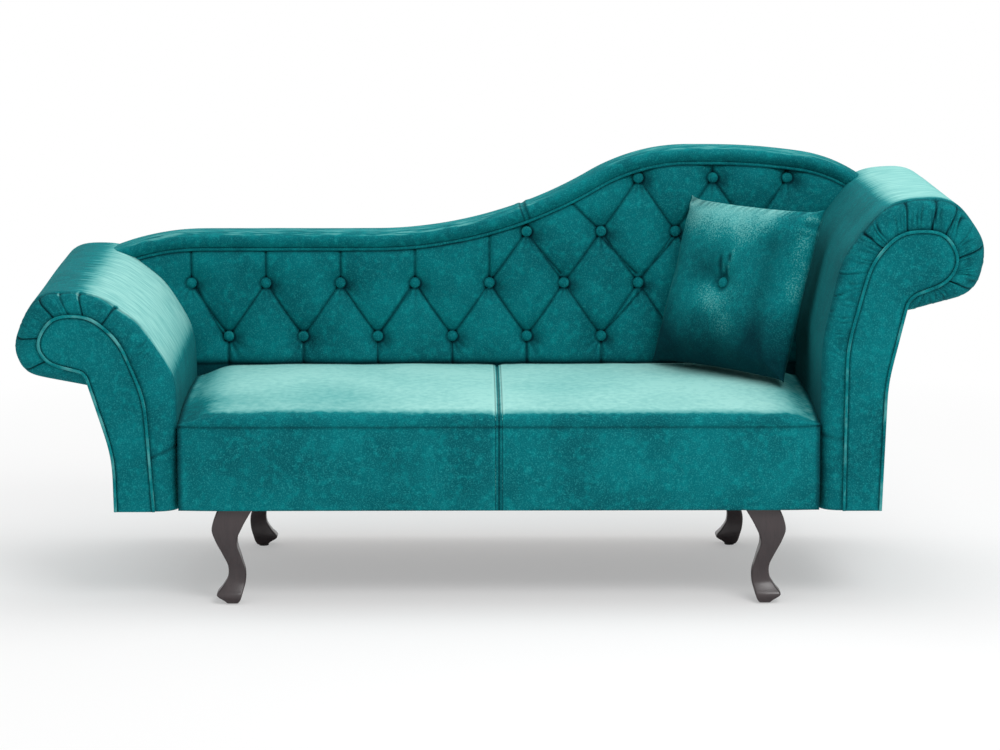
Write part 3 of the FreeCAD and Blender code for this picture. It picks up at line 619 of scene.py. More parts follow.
def makeTuftedBack():
    seam = topLinePoints(backLine["rollHeight"])
    x0, x1 = seam[0, 0] + 0.004, seam[-1, 0] - 0.002
    across = round((x1 - x0) / tufting["grid"])
    along = round(tufting["length"] / tufting["grid"])

    def place(column, row):
        x = x0 + (x1 - x0) * column / across
        top = np.interp(x, seam[:, 0], seam[:, 1])
        z = tufting["hidden"] + (top - tufting["hidden"]) * row / along
        over = np.maximum(np.abs(x) - tufting["foldReach"], 0)
        ends = np.where(x < 0, -x0, x1) - tufting["foldReach"]
        held = 1 - smoothStep((z - np.where(x < 0, 0.43, 0.58)) / 0.03)
        x = x - np.sign(x) * over * held * np.maximum(1 - tufting["endReach"] / ends, 0)
        dip, paintedLight, paintedShade = tuftDip(x, z, top)
        y = crownPlane(z) + dip
        loose = looseNoise(np.stack([x, y, z], axis=1), 16.0, 1)
        # painted light on the parts that swell out
        paintedLight = paintedLight + 0.06 * np.maximum(loose, 0)
        return surface(x, y + loose * 0.0016, z, paintedLight, paintedShade)

    bm = wrapGrid(across, along, place)
    rim = [e for e in bm.edges if e.is_boundary]
    skirt = bmesh.ops.extrude_edge_only(bm, edges=rim)["geom"]
    for vert in (g for g in skirt if isinstance(g, bmesh.types.BMVert)):
        vert.co.y = crownPlane(vert.co.z) + tufting["backing"]
    closeShell(bm)
    piece = newPiece("tuftedBack", bm)
    fit(piece, velvet, nodes=("back_tufted_cover", "back_foam"))


# Covered buttons

buttonShape = {
    "profile": [(0.0, 0.0078), (0.0045, 0.0074), (0.0085, 0.0058), (0.0106, 0.0030), (0.0112, 0.0),
                (0.0104, -0.004)],
    "steps": 20,
}


def buttonMesh(place, out):
    # a domed button spun round its axis, its back at "place" and its dome along "out", with a painted highlight
    # ring near the rim of its dome and painted shade round its base
    bm = bmesh.new()
    verts = [bm.verts.new((r, 0.0, h)) for r, h in buttonShape["profile"]]
    edges = [bm.edges.new(pair) for pair in zip(verts, verts[1:])]
    bmesh.ops.spin(bm, geom=verts + edges, cent=(0, 0, 0), axis=(0, 0, 1), angle=2 * math.pi,
                   steps=buttonShape["steps"], use_merge=True, use_duplicate=False)
    bmesh.ops.remove_doubles(bm, verts=bm.verts, dist=1e-5)
    bmesh.ops.holes_fill(bm, edges=bm.edges, sides=0)
    bmesh.ops.recalc_face_normals(bm, faces=bm.faces)
    turn = Vector((0, 0, 1)).rotation_difference(Vector(out)).to_matrix().to_4x4()
    # the rim's layer holds a painted highlight ring, the other painted shade at the base
    rim = bm.verts.layers.float.new("paintedLight")
    paintedShadeLayer = bm.verts.layers.float.new("paintedShade")
    for vert in bm.verts:
        reach = math.hypot(vert.co.x, vert.co.y)
        vert[rim] = 0.16 * math.exp(-((reach - 0.0094) / 0.0016) ** 2) * (vert.co.z > 0)
        vert[paintedShadeLayer] = 0.6 if vert.co.z < 0.001 else 0.0
    bmesh.ops.transform(bm, matrix=Matrix.Translation(place) @ turn, verts=bm.verts)
    return bm


def makeBackButtons():
    low, high = armLine("low"), armLine("high")
    out = Vector((0, -1, backLine["tilt"])).normalized()
    parts = []
    for x, heights in tuftRows():
        for z in heights:
            if low(z) + 0.012 < x < high(z) - 0.012:
                parts.append(buttonMesh((x, crownPlane(z) + tufting["buttonDip"] + 0.003, z), out))
    fit(newPiece("backButtons", merge(parts)), velvet, nodes=("back_buttons",))
    print("back buttons:", len(parts))


# Arms: outlines of (distance out from the inner face, height, radius) in millimetres

arms = {
    "low": {
        "side": -1,
        "node": "arm_low",
        "outline": [(0, 185, 0), (2, 448, 120), (66, 548, 130), (150, 608, 120), (264, 608, 55), (312, 505, 60),
                    (288, 449, 26), (152, 422, 12), (121, 265, 300), (120, 185, 0)],
        "facing": [(45, 185, 0), (60, 405, 200), (106, 520, 110), (160, 566, 50), (232, 566, 34),
                   (265, 510, 26), (240, 474, 14), (170, 456, 26), (119, 290, 260), (117, 185, 0)],
        "folds": [(257, 600, 1.0), (215, 604, 0.6), (178, 600, 1.0), (113, 572, 0.9), (305, 525, 1.0),
                  (288, 458, 1.0)],
        "seamZ": 0.310,
        "rise": (-0.006, 0.014),    # the arm's top slopes up to the rear
        "gathers": 0.55,
        "paintedLightStart": 0.002,          # painted light starts this far behind the front
        # where painted light falls and where painted shade falls: (direction faced, from, to, strength)
        "paintedLightFacing": ((0.62, 0, 0.78), 0.74, 0.99, 0.80),
        "paintedDark": ((-0.5, 0, 0.86), 0.80, 1.0, 0.10),
    },
    "high": {
        "side": 1,
        "node": "arm_high",
        "outline": [(0, 185, 0), (0, 500, 200), (36, 668, 150), (124, 775, 96), (248, 780, 68), (312, 690, 52),
                    (291, 600, 26), (146, 562, 12), (121, 400, 300), (117, 185, 0)],
        "facing": [(45, 185, 0), (47, 498, 240), (90, 660, 110), (142, 718, 60), (228, 719, 38), (258, 662, 30),
                   (233, 621, 20), (161, 594, 40), (122, 430, 260), (114, 185, 0)],
        "folds": [(85, 700, 0.9), (152, 764, 1.0), (209, 774, 0.9), (258, 775, 1.0), (300, 690, 1.0),
                  (280, 612, 1.0)],
        "seamZ": 0.326,
        "rise": (0.0, 0.0),
        "gathers": 1.0,
        "paintedLightStart": 0.030,
        # where painted light falls and where painted shade falls: (direction faced, from, to, strength)
        "paintedLightFacing": ((0.10, 0, 1), 0.72, 0.99, 0.80),
        "paintedDark": ((-1, 0, 0), 0.50, 0.98, 0.42),
    },
}
armForm = {
    "rimY": frontY + 0.008,
    "rearY": 0.324,
    "bandDepth": 0.040,         # depth of the rounded front edge
    "roundness": 2.3,
    "softness": 0.016,          # how widely the outline's corners are eased
    "bandRings": 18,
    "bodyRings": 34,
    "rearRings": 6,
    "rearRound": 0.010,
    "perArc": 40,
    "perLine": 36,
    "foldDepth": 0.0042,
    "foldWidth": 0.0030,
    "fullness": 0.0035,
    "tuck": 0.006,              # the band's rim turns in under the piping
    "slack": 0.0014,
    "piping": 0.0031,
    "riseFrom": 0.30,           # the slope to the rear starts above the seat
    "riseOver": 0.25,
}


def armLine(name):
    # the X of an arm's inner surface at a height
    arm = arms[name]
    loop = roundedOutline(arm["outline"], 12, 4)
    inner = loop[: int(len(loop) * 0.45)]
    order = np.argsort(inner[:, 1])
    return lambda z: arm["side"] * (seatHalf + np.interp(z, inner[order, 1], inner[order, 0]))


def softOutline(name, kind):
    # an arm's outline with its corners eased, except at the hem and under the scroll
    arm = arms[name]
    loop = roundedOutline(arm[kind], armForm["perArc"], armForm["perLine"])
    steps, length = loopLengths(loop)
    gap = np.abs(length[:, None] - length[None, :])
    gap = np.minimum(gap, steps.sum() - gap)
    under = np.array(arm[kind][7][:2]) * 0.001
    free = smoothStep((loop[:, 1] - hemZ - 0.01) / 0.08)
    free *= 1 - bump(np.linalg.norm(loop - under, axis=1), 0.035)
    width = np.maximum(armForm["softness"] * free, 0.0003)[:, None]
    weights = np.exp(-0.5 * (gap / width) ** 2) * ((steps + np.roll(steps, 1)) / 2)[None, :]
    return weights @ loop / weights.sum(axis=1)[:, None]


def armRings():
    # each ring: share of the facing's outline, Y, and the angle of the rounding
    rings = [(1.0, armForm["rimY"], math.pi / 2)]
    power = 2 / armForm["roundness"]
    for k in range(armForm["bandRings"]):
        angle = math.radians(90 * (1 - k / armForm["bandRings"]))
        share = 1 - math.cos(angle) ** power
        rings.append((share, armForm["rimY"] + armForm["bandDepth"] * (1 - math.sin(angle) ** power), angle))
    start = armForm["rimY"] + armForm["bandDepth"]
    end = armForm["rearY"] - armForm["rearRound"]
    rings += [(0.0, y, 0.0) for y in np.linspace(start, end, armForm["bodyRings"])]
    for k in range(1, armForm["rearRings"] + 1):
        angle = math.radians(90 * k / armForm["rearRings"])
        rings.append((-1.0, end + armForm["rearRound"] * math.sin(angle), angle))
    return rings


def riseShare(z):
    return smoothStep((z - armForm["riseFrom"]) / armForm["riseOver"])


def bandFolds(arm, foldAt, s, angle, inBand, scroll):
    # folds and gathers of the front band: how far they lift the cover, with painted shade in the folds and
    # painted light on their ridges
    lift, paintedShade, paintedLight = np.zeros((3, len(s)))
    foldGap = np.full(len(s), 9.0)
    for spot, strength in foldAt:
        gap = s - spot - 0.004 * np.sin(angle * 2.4)
        foldGap = np.minimum(foldGap, np.abs(gap))
        lift -= strength * armForm["foldDepth"] * bump(gap, armForm["foldWidth"]) * inBand
        paintedShade += 0.95 * strength * bump(gap, 0.0019) * inBand
        paintedLight += 0.07 * strength * bump(gap - 0.0040, 0.0018) * inBand
    lift += armForm["fullness"] * (1 - bump(foldGap, 0.020)) * inBand * scroll * np.sin(2 * angle)
    uneven = looseNoise(np.column_stack([s, s * 0.0 + arm["side"], angle * 0.02]), 46.0, 12)
    ripple = np.cos(s * 390.0 + 9.0 * uneven + 2.0 * np.sin(s * 37.0) + 0.7 * angle)
    atRim = bump(angle - 1.22, 0.34) * 0.7
    ripple *= atRim + bump(angle - 0.75, 0.4) * np.maximum(uneven, 0) * 2.2
    ripple *= arm["gathers"] * scroll
    lift += 0.0019 * ripple
    paintedShade += 0.60 * np.maximum(-ripple - 0.15, 0)
    paintedLight += 0.09 * np.maximum(ripple - 0.25, 0)
    return lift, paintedShade, paintedLight


def makeArm(name):
    arm = arms[name]
    outline, facing = softOutline(name, "outline"), softOutline(name, "facing")
    normals = outwardNormals(outline)
    length = loopLengths(outline)[1]
    count = len(outline)
    foldAt = []
    for out, z, strength in arm["folds"]:
        nearest = np.argmin(np.hypot(outline[:, 0] - out * 0.001, outline[:, 1] - z * 0.001))
        foldAt.append((length[nearest], strength))
    shares, ringY, angles = np.array(armRings()).T
    atRear = shares < 0
    shares = np.maximum(shares, 0.0)

    def place(column, row):
        i = column % count
        share = shares[row][:, None]
        flat = outline[i] * (1 - share) + facing[i] * share
        normal = normals[i]
        angle = np.where(atRear[row], 0.0, angles[row])
        rear = np.where(atRear[row], armForm["rearRound"] * (1 - np.cos(angles[row])), 0.0)
        tucked = np.where(row == 0, armForm["tuck"], 0.0)
        inBand = smoothStep((np.sin(angle) - 0.10) / 0.25)
        scroll = smoothStep((outline[i, 1] - hemZ - 0.27) / 0.06)
        lift, paintedShade, paintedLight = bandFolds(arm, foldAt, length[i], angle, inBand, scroll)
        # painted shade along the band's rim and in the inner face's seam
        paintedShade += 0.75 * bump((math.pi / 2 - angle) * armForm["bandDepth"], 0.0032) * (angle > 0)
        inside = outline[i, 0] < 0.08
        seam = bump(outline[i, 1] - arm["seamZ"], 0.0022) * inside * (angle > 0.05)
        lift -= 0.0018 * seam
        paintedShade += 0.8 * seam
        # a line of painted shade over the top where the band turns back, with a painted highlight just behind
        # it
        past = ringY[row] - (armForm["rimY"] + armForm["bandDepth"] * 0.62)
        top = smoothStep((normal[:, 1] - 0.45) / 0.3) * scroll
        lift -= 0.0014 * bump(past, 0.0028) * top
        paintedShade += 0.55 * bump(past, 0.0022) * top
        paintedLight += 0.05 * bump(past - 0.005, 0.003) * top
        out, z = (flat + normal * (lift * np.cos(angle) - rear - tucked)[:, None]).T
        y = ringY[row] - lift * np.sin(angle) + tucked
        low, high = arm["rise"]
        along = (y - armForm["rimY"]) / (armForm["rearY"] - armForm["rimY"])
        z = z + (low + (high - low) * along) * riseShare(z)
        x = arm["side"] * (seatHalf + out)
        body = (1 - inBand) * (z > hemZ + 0.004)
        loose = looseNoise(np.column_stack([x, y * 0.5, z]), 9.0, 3 + arm["side"])
        x = x + arm["side"] * normal[:, 0] * loose * armForm["slack"] * body
        z = np.maximum(z + normal[:, 1] * loose * armForm["slack"] * body, hemZ)
        # painted shade low on the inner face, near the seat
        shade = np.clip(1 - (outline[i, 1] - 0.385) / 0.12, 0, 1) * (outline[i, 1] > 0.30) * inside
        paintedShade += 0.35 * shade * (1 - inBand) * (outline[i, 0] < 0.05)
        return surface(x, y, z, paintedLight, paintedShade, 0.92)

    bm = wrapGrid(count, len(shares) - 1, place, closed=True, capped=True)
    piece = newPiece("armCover" + name.capitalize(), bm)
    # painted light on the faces turned one way and painted shade on those turned another, as each arm lists
    paintLightOrShade(piece, *arm["paintedLightFacing"], start=frontY + arm["paintedLightStart"])
    paintLightOrShade(piece, *arm["paintedDark"], kind="paintedShade")
    fit(piece, velvet, nodes=(arm["node"] + "_cover", arm["node"] + "_foam"))
    makePanel(name, "front", facing)
    makePiping(name, facing)
    makePanel(name, "rear", outline)


# Flat panels that close an arm; steps run (in from the outline, out of the panel's plane)

armPanels = {
    "front": {
        "piece": "armFacing",
        "node": "_front_facing",
        "steps": [(0.0005, 0.0), (0.001, 0.004), (0.0025, 0.0065), (0.005, 0.0080), (0.008, 0.0088),
                  (0.011, 0.0092)],
        "planeY": frontY + 0.012,
        "outwards": -1,
        "rise": 0,                  # which end of the arm's slope it takes
        "hem": 0.0,
        # the hem's share of painted shade, and the seam's painted shade as (strength, distance in, width)
        "hemPaintedShade": 0.0,
        "seam": (0.85, 0.0030, 0.0022),
    },
    "rear": {
        "piece": "armRear",
        "node": "_rear_facing",
        "steps": [(0.0095, -0.0010), (0.0100, 0.0012), (0.0125, 0.0022), (0.0180, 0.0026)],
        "planeY": armForm["rearY"],
        "outwards": 1,
        "rise": 1,
        "hem": 0.0003,
        # the hem's share of painted shade, and the seam's painted shade as (strength, distance in, width)
        "hemPaintedShade": 1.0,
        "seam": (0.8, 0.0098, 0.0012),
    },
}


def makePanel(name, end, loop):
    arm, panel = arms[name], armPanels[end]
    normals = outwardNormals(loop)
    inwards, outwards = np.array(panel["steps"]).T
    strength, seamAt, seamWidth = panel["seam"]
    hem = hemZ + panel["hem"]

    def place(column, row):
        i = column % len(loop)
        flat = loop[i] - normals[i] * inwards[row][:, None]
        atHem = loop[i, 1] < hemZ + 0.0005
        z = np.where(atHem, hem, np.maximum(flat[:, 1], hem))
        z = z + arm["rise"][panel["rise"]] * riseShare(z)
        y = panel["planeY"] + panel["outwards"] * outwards[row]
        # painted shade along the panel's seam, scaled by the hem's share at the hem
        paintedShade = strength * bump(inwards[row] - seamAt, seamWidth) * np.where(atHem, panel["hemPaintedShade"], 1.0)
        return surface(arm["side"] * (seatHalf + flat[:, 0]), y, z, row * 0.0, paintedShade)

    bm = wrapGrid(len(loop), len(inwards) - 1, place, closed=True, capped=True)
    piece = newPiece(panel["piece"] + name.capitalize(), bm)
    fit(piece, velvet, nodes=(arm["node"] + panel["node"],))


def makePiping(name, loop):
    # round the front facing, open at the hem
    arm = arms[name]
    a, b = loop[: len(loop) - armForm["perLine"]].T
    path = np.column_stack([arm["side"] * (seatHalf + a), np.full(len(a), frontY + 0.004),
                            b + arm["rise"][0] * riseShare(b)])
    piece = newPiece("armPiping" + name.capitalize(), tubeAlong(path, armForm["piping"], 10))
    fit(piece, pipingVelvetPaintedLight, nodes=(arm["node"] + "_front_piping",))


# The border roll along the back's top

roll = {
    "around": 34,
    "spacing": 0.0036,
    "seamDip": 0.018,
    "welt": 0.0032,
    "crossSeamX": 0.052,
}


def rollSection(seamY):
    # (Y, distance under the top line) from the front seam over the top to the rear
    h = backLine["rollHeight"]
    return [(seamY + 0.004, h + 0.003), (seamY - 0.004, h), (seamY - 0.012, h * 0.76),
            (seamY - 0.016, h * 0.48), (seamY - 0.012, h * 0.22), (seamY + 0.002, 0.0025),
            ((seamY + rearY) / 2, 0.0), (rearY - 0.018, 0.002), (rearY - 0.004, 0.010), (rearY, 0.020),
            (rearY - 0.003, h + 0.002)]


def makeRoll():
    line = topLinePoints(0.0, roll["spacing"])
    h = backLine["rollHeight"]
    sections = []
    for x, z, heading in line:
        seamZ = z - math.cos(heading) * h
        sections.append(smoothLine(rollSection(crownPlane(seamZ) + roll["seamDip"]), roll["around"] + 1))
    sections = np.array(sections)

    def place(column, row):
        y, below = sections[row, column].T
        heading = line[row, 2]
        groove = 0.0022 * bump(line[row, 0] - roll["crossSeamX"], 0.0035)
        ridge = 0.0010 * bump(np.abs(line[row, 0] - roll["crossSeamX"]) - 0.009, 0.004)
        swell = (ridge - groove) * (1 - smoothStep((below - h + 0.006) / 0.006))
        x = line[row, 0] + np.sin(heading) * below
        z = line[row, 1] - np.cos(heading) * (below - swell)
        y = y - swell * (y < 0.25)
        loose = looseNoise(np.stack([x, y, z], axis=1) * [1, 2, 2], 11.0, 5)
        across = np.abs(line[row, 0] - roll["crossSeamX"])
        seen = 1 - smoothStep((y - 0.25) / 0.03)
        # painted shade beside the cross seam and under the roll's front edge, painted highlights beside the
        # cross seam and on the swelling parts of the front
        paintedShade = 0.7 * bump(across - 0.0045, 0.0022)
        paintedShade += 0.9 * smoothStep((below - h + 0.004) / 0.004) * (y < 0.27)
        paintedLight = (0.09 * bump(across - 0.010, 0.003) + 0.08 * np.maximum(loose, 0)) * seen
        return surface(x, y - loose * 0.0010, z + loose * 0.0005, paintedLight, paintedShade)

    bm = wrapGrid(roll["around"], len(line) - 1, place)
    closeShell(bm)
    piece = newPiece("borderRoll", bm)
    # painted light on the parts of the roll that face up
    paintLightOrShade(piece, (0, -0.25, 0.97), 0.80, 1.0, 0.20)
    fit(piece, velvet, nodes=("back_roll_cover", "back_roll_foam"))
    under = topLinePoints(h + 0.0015, roll["spacing"])
    path = [(x, crownPlane(z) + roll["seamDip"] - 0.006, z) for x, z, _ in under]
    fit(newPiece("rollWelt", tubeAlong(path, roll["welt"], 8)), velvet)


# The seat

seat = {
    "half": seatHalf - 0.001,
    "rear": 0.190,
    "crown": 0.392,
    "frontEdge": 0.372,
    "weltZ": 0.346,
    "faceY": frontY + 0.005,
    "across": 300,
    "around": 150,
    "seamFine": 0.0009,         # spacing of the columns beside the middle seam
    "seamGroove": 0.0035,
    "stitchX": 0.0065,          # the two rows beside the middle seam
}


def seatSection():
    # (Y, Z) from the hem up the apron, over the front edge and back along the top
    y, edge, top, welt = seat["faceY"], seat["frontEdge"], seat["crown"], seat["weltZ"]
    return [(y + 0.006, hemZ), (y + 0.002, 0.215), (y, 0.265), (y + 0.0015, 0.315),
            (y + 0.0045, welt - 0.006), (y + 0.0065, welt), (y + 0.0035, welt + 0.007),
            (y + 0.0055, edge - 0.009), (y + 0.0125, edge - 0.003), (y + 0.024, edge),
            (y + 0.060, edge + 0.0055), (y + 0.150, edge + 0.015), (y + 0.255, top - 0.0006), (0.060, top),
            (0.130, top - 0.001), (seat["rear"], top - 0.005)]


def makeSeat():
    section = smoothLine(seatSection(), seat["around"] - 3)
    inside = [(seat["rear"], 0.320), (seat["faceY"] + 0.03, 0.320), (seat["faceY"] + 0.012, hemZ + 0.002),
              (seat["faceY"] + 0.006, hemZ)]
    section = np.concatenate([section, inside])
    spread = np.linspace(-1, 1, seat["across"] + 1)
    columnX = seat["half"] * (0.86 * spread + 0.14 * spread ** 3)
    nearSeam = np.arange(-14, 15) * seat["seamFine"]
    left, right = columnX < nearSeam[0] - 0.001, columnX > nearSeam[-1] + 0.001
    columnX = np.concatenate([columnX[left], nearSeam, columnX[right]])
    across = len(columnX) - 1

    def place(column, row):
        x = columnX[column]
        y, z = section[row].T
        onTop = smoothStep((y - seat["faceY"] - 0.004) / 0.02) * (z > seat["weltZ"] + 0.002)
        end = smoothStep((np.abs(x) - seat["half"] + 0.085) / 0.085)
        drop = 0.003 * smoothStep((np.abs(x) - seat["half"] + 0.2) / 0.14) + 0.021 * end ** 1.6
        shown = row <= seat["around"] - 4
        high = smoothStep((z - seat["weltZ"]) / 0.02) * shown
        z = z - drop * high * (0.6 + 0.4 * onTop)
        pulledIn = (0.004 + 0.005 * smoothStep((z - 0.24) / 0.08)) * end ** 2
        y = y + pulledIn * (1 - smoothStep((y - seat["faceY"]) / 0.05))
        seam = bump(x, 0.0026)
        puff = bump(np.abs(x) - 0.014, 0.009) * 0.0012
        dent = seat["seamGroove"] * seam + 0.0028 * bump(x, 0.022) - puff
        z = z - dent * high
        y = y + dent * (1 - onTop) * 0.8 * shown
        slack = looseNoise(np.stack([x, y, z], axis=1), 7.0, 8)
        ripple = looseNoise(np.stack([x, y * 0.4, z * 0.4], axis=1), 26.0, 9)
        z = z + (slack * 0.0022 + ripple * 0.0006) * high * onTop
        y = y - (slack * 0.0016 + ripple * 0.0006) * (1 - onTop) * (z > hemZ + 0.01) * shown
        # painted shade in the middle seam, along the stitch rows, under the welt, towards the back, at the ends
        # by the arms, and a painted shadow where the pillow stands
        paintedShade = 0.9 * bump(x, 0.0012) + 0.6 * bump(np.abs(x) - seat["stitchX"], 0.0011)
        paintedShade += 0.55 * bump(z - seat["weltZ"] + 0.001, 0.0024) * (1 - onTop)
        paintedShade += 0.80 * smoothStep((y - 0.165) / 0.022) * onTop
        paintedShade += 0.75 * smoothStep((np.abs(x) - seat["half"] + 0.010) / 0.008) * shown
        paintedShade += 0.45 * bump(np.hypot((x - 0.45) / 1.5, y - 0.08), 0.085) * onTop
        # painted highlights beside the middle seam and over the slack top, with less painted light towards the
        # front left and at the ends
        paintedLight = 0.16 * bump(np.abs(x) - 0.0095, 0.0018) + (0.06 + 0.14 * slack) * onTop
        paintedLight -= 0.30 * smoothStep((-x - 0.05) / 0.35) * bump(y + 0.24, 0.10) * onTop
        paintedLight -= 0.55 * smoothStep((np.abs(x) - 0.50) / 0.11) * onTop
        return surface(x, y, z, paintedLight, paintedShade)

    bm = wrapGrid(across, seat["around"], place)
    bmesh.ops.remove_doubles(bm, verts=bm.verts, dist=1e-6)
    closeShell(bm)
    piece = newPiece("seatCushion", bm)
    # painted light on the parts of the seat that face up
    paintLightOrShade(piece, (0, -0.1, 1), 0.66, 0.96, 0.77, start=seat["faceY"])
    fit(piece, seatVelvet, nodes=("seat_cover", "seat_foam"))
    shown = section[3:-5]
    rows = []
    for side in (-1, 1):
        row = np.column_stack([np.full(len(shown), side * seat["stitchX"]), shown[:, 0], shown[:, 1]])
        up = smoothStep((shown[:, 0] - seat["faceY"] - 0.004) / 0.02)
        row[:, 1] += 0.0023 * (1 - up)
        row[:, 2] -= 0.0026 * up
        rows.append(stitchRow(row))
    fit(newPiece("seatTopstitch", merge(rows)), thread)


# The loose pillow

pillow = {
    "width": 0.374,
    "height": 0.359,
    "thickness": 0.120,
    "drawn": 0.005,             # how far the sides pull in between the corners
    "turn": -48.5,
    "lean": 18.5,
    "foot": (0.435, 0.022, 0.3905),
    "ear": 0.005,
    "buttonDip": 0.030,
    "buttonSpread": 0.030,
    "wrinkles": [(-0.005, 0.016, -0.011, 0.058), (0.006, 0.016, 0.019, 0.060)],
    "grid": 64,
    "swell": 0.010,             # cap on how far the simulation moves a point
}


def pillowPoint(u, v, face):
    # a point of the slack case: u and v from -1 to 1, face -1 or 1
    x = u * (pillow["width"] / 2 - pillow["drawn"] * (1 - v ** 2) * np.abs(u))
    z = v * (pillow["height"] / 2 - pillow["drawn"] * (1 - u ** 2) * np.abs(v))
    fullness = ((1 - np.abs(u) ** 2.6) * (1 - np.abs(v) ** 2.6)) ** 0.55
    return np.stack([x, z, face * pillow["thickness"] / 2 * 0.88 * fullness], axis=1)


def makePillowMesh():
    n = pillow["grid"]
    sides = []
    for face in (1, -1):
        bm = bmesh.new()
        bmesh.ops.create_grid(bm, x_segments=n, y_segments=n, size=1.0)
        flat = np.array([v.co[:2] for v in bm.verts])
        flat = np.sin(flat * math.pi / 2 * 0.86) / math.sin(math.pi / 2 * 0.86)
        for vert, point in zip(bm.verts, pillowPoint(flat[:, 0], flat[:, 1], face)):
            vert.co = point
        if face < 0:
            bmesh.ops.reverse_faces(bm, faces=bm.faces)
        sides.append(bm)
    bm = merge(sides)
    bmesh.ops.remove_doubles(bm, verts=bm.verts, dist=1e-5)
    bmesh.ops.recalc_face_normals(bm, faces=bm.faces)
    return bm


def inflate(piece, cap, pressure=4.0, frames=20):
    # swells a closed case like a stuffed cushion, keeping each point within a cap
    before = np.array([v.co[:] for v in piece.data.vertices])
    cloth = piece.modifiers.new("Cloth", "CLOTH")
    cloth.settings.quality = 6
    cloth.settings.mass = 0.2
    cloth.settings.use_pressure = True
    cloth.settings.uniform_pressure_force = pressure
    cloth.settings.effector_weights.gravity = 0.0
    cloth.collision_settings.use_collision = False
    cloth.point_cache.frame_start = 1
    cloth.point_cache.frame_end = frames
    scene = bpy.context.scene
    for number in range(1, frames + 1):
        scene.frame_set(number)
    shaped = piece.evaluated_get(bpy.context.evaluated_depsgraph_get())
    after = np.array([v.co[:] for v in shaped.data.vertices])
    move = after - before
    size = np.linalg.norm(move, axis=1)
    move *= (np.minimum(size, cap) / np.maximum(size, 1e-9))[:, None]
    piece.modifiers.clear()
    scene.frame_set(1)
    piece.data.vertices.foreach_set("co", (before + move).ravel())
    piece.data.update()


def pillowMatrix():
    turn = Matrix.Rotation(math.radians(pillow["turn"]), 4, "Z")
    lean = Matrix.Rotation(math.radians(90 - pillow["lean"]), 4, "X")
    up = (turn @ lean).to_3x3() @ Vector((0, 1, 0))
    return Matrix.Translation(Vector(pillow["foot"]) + up * pillow["height"] / 2) @ turn @ lean


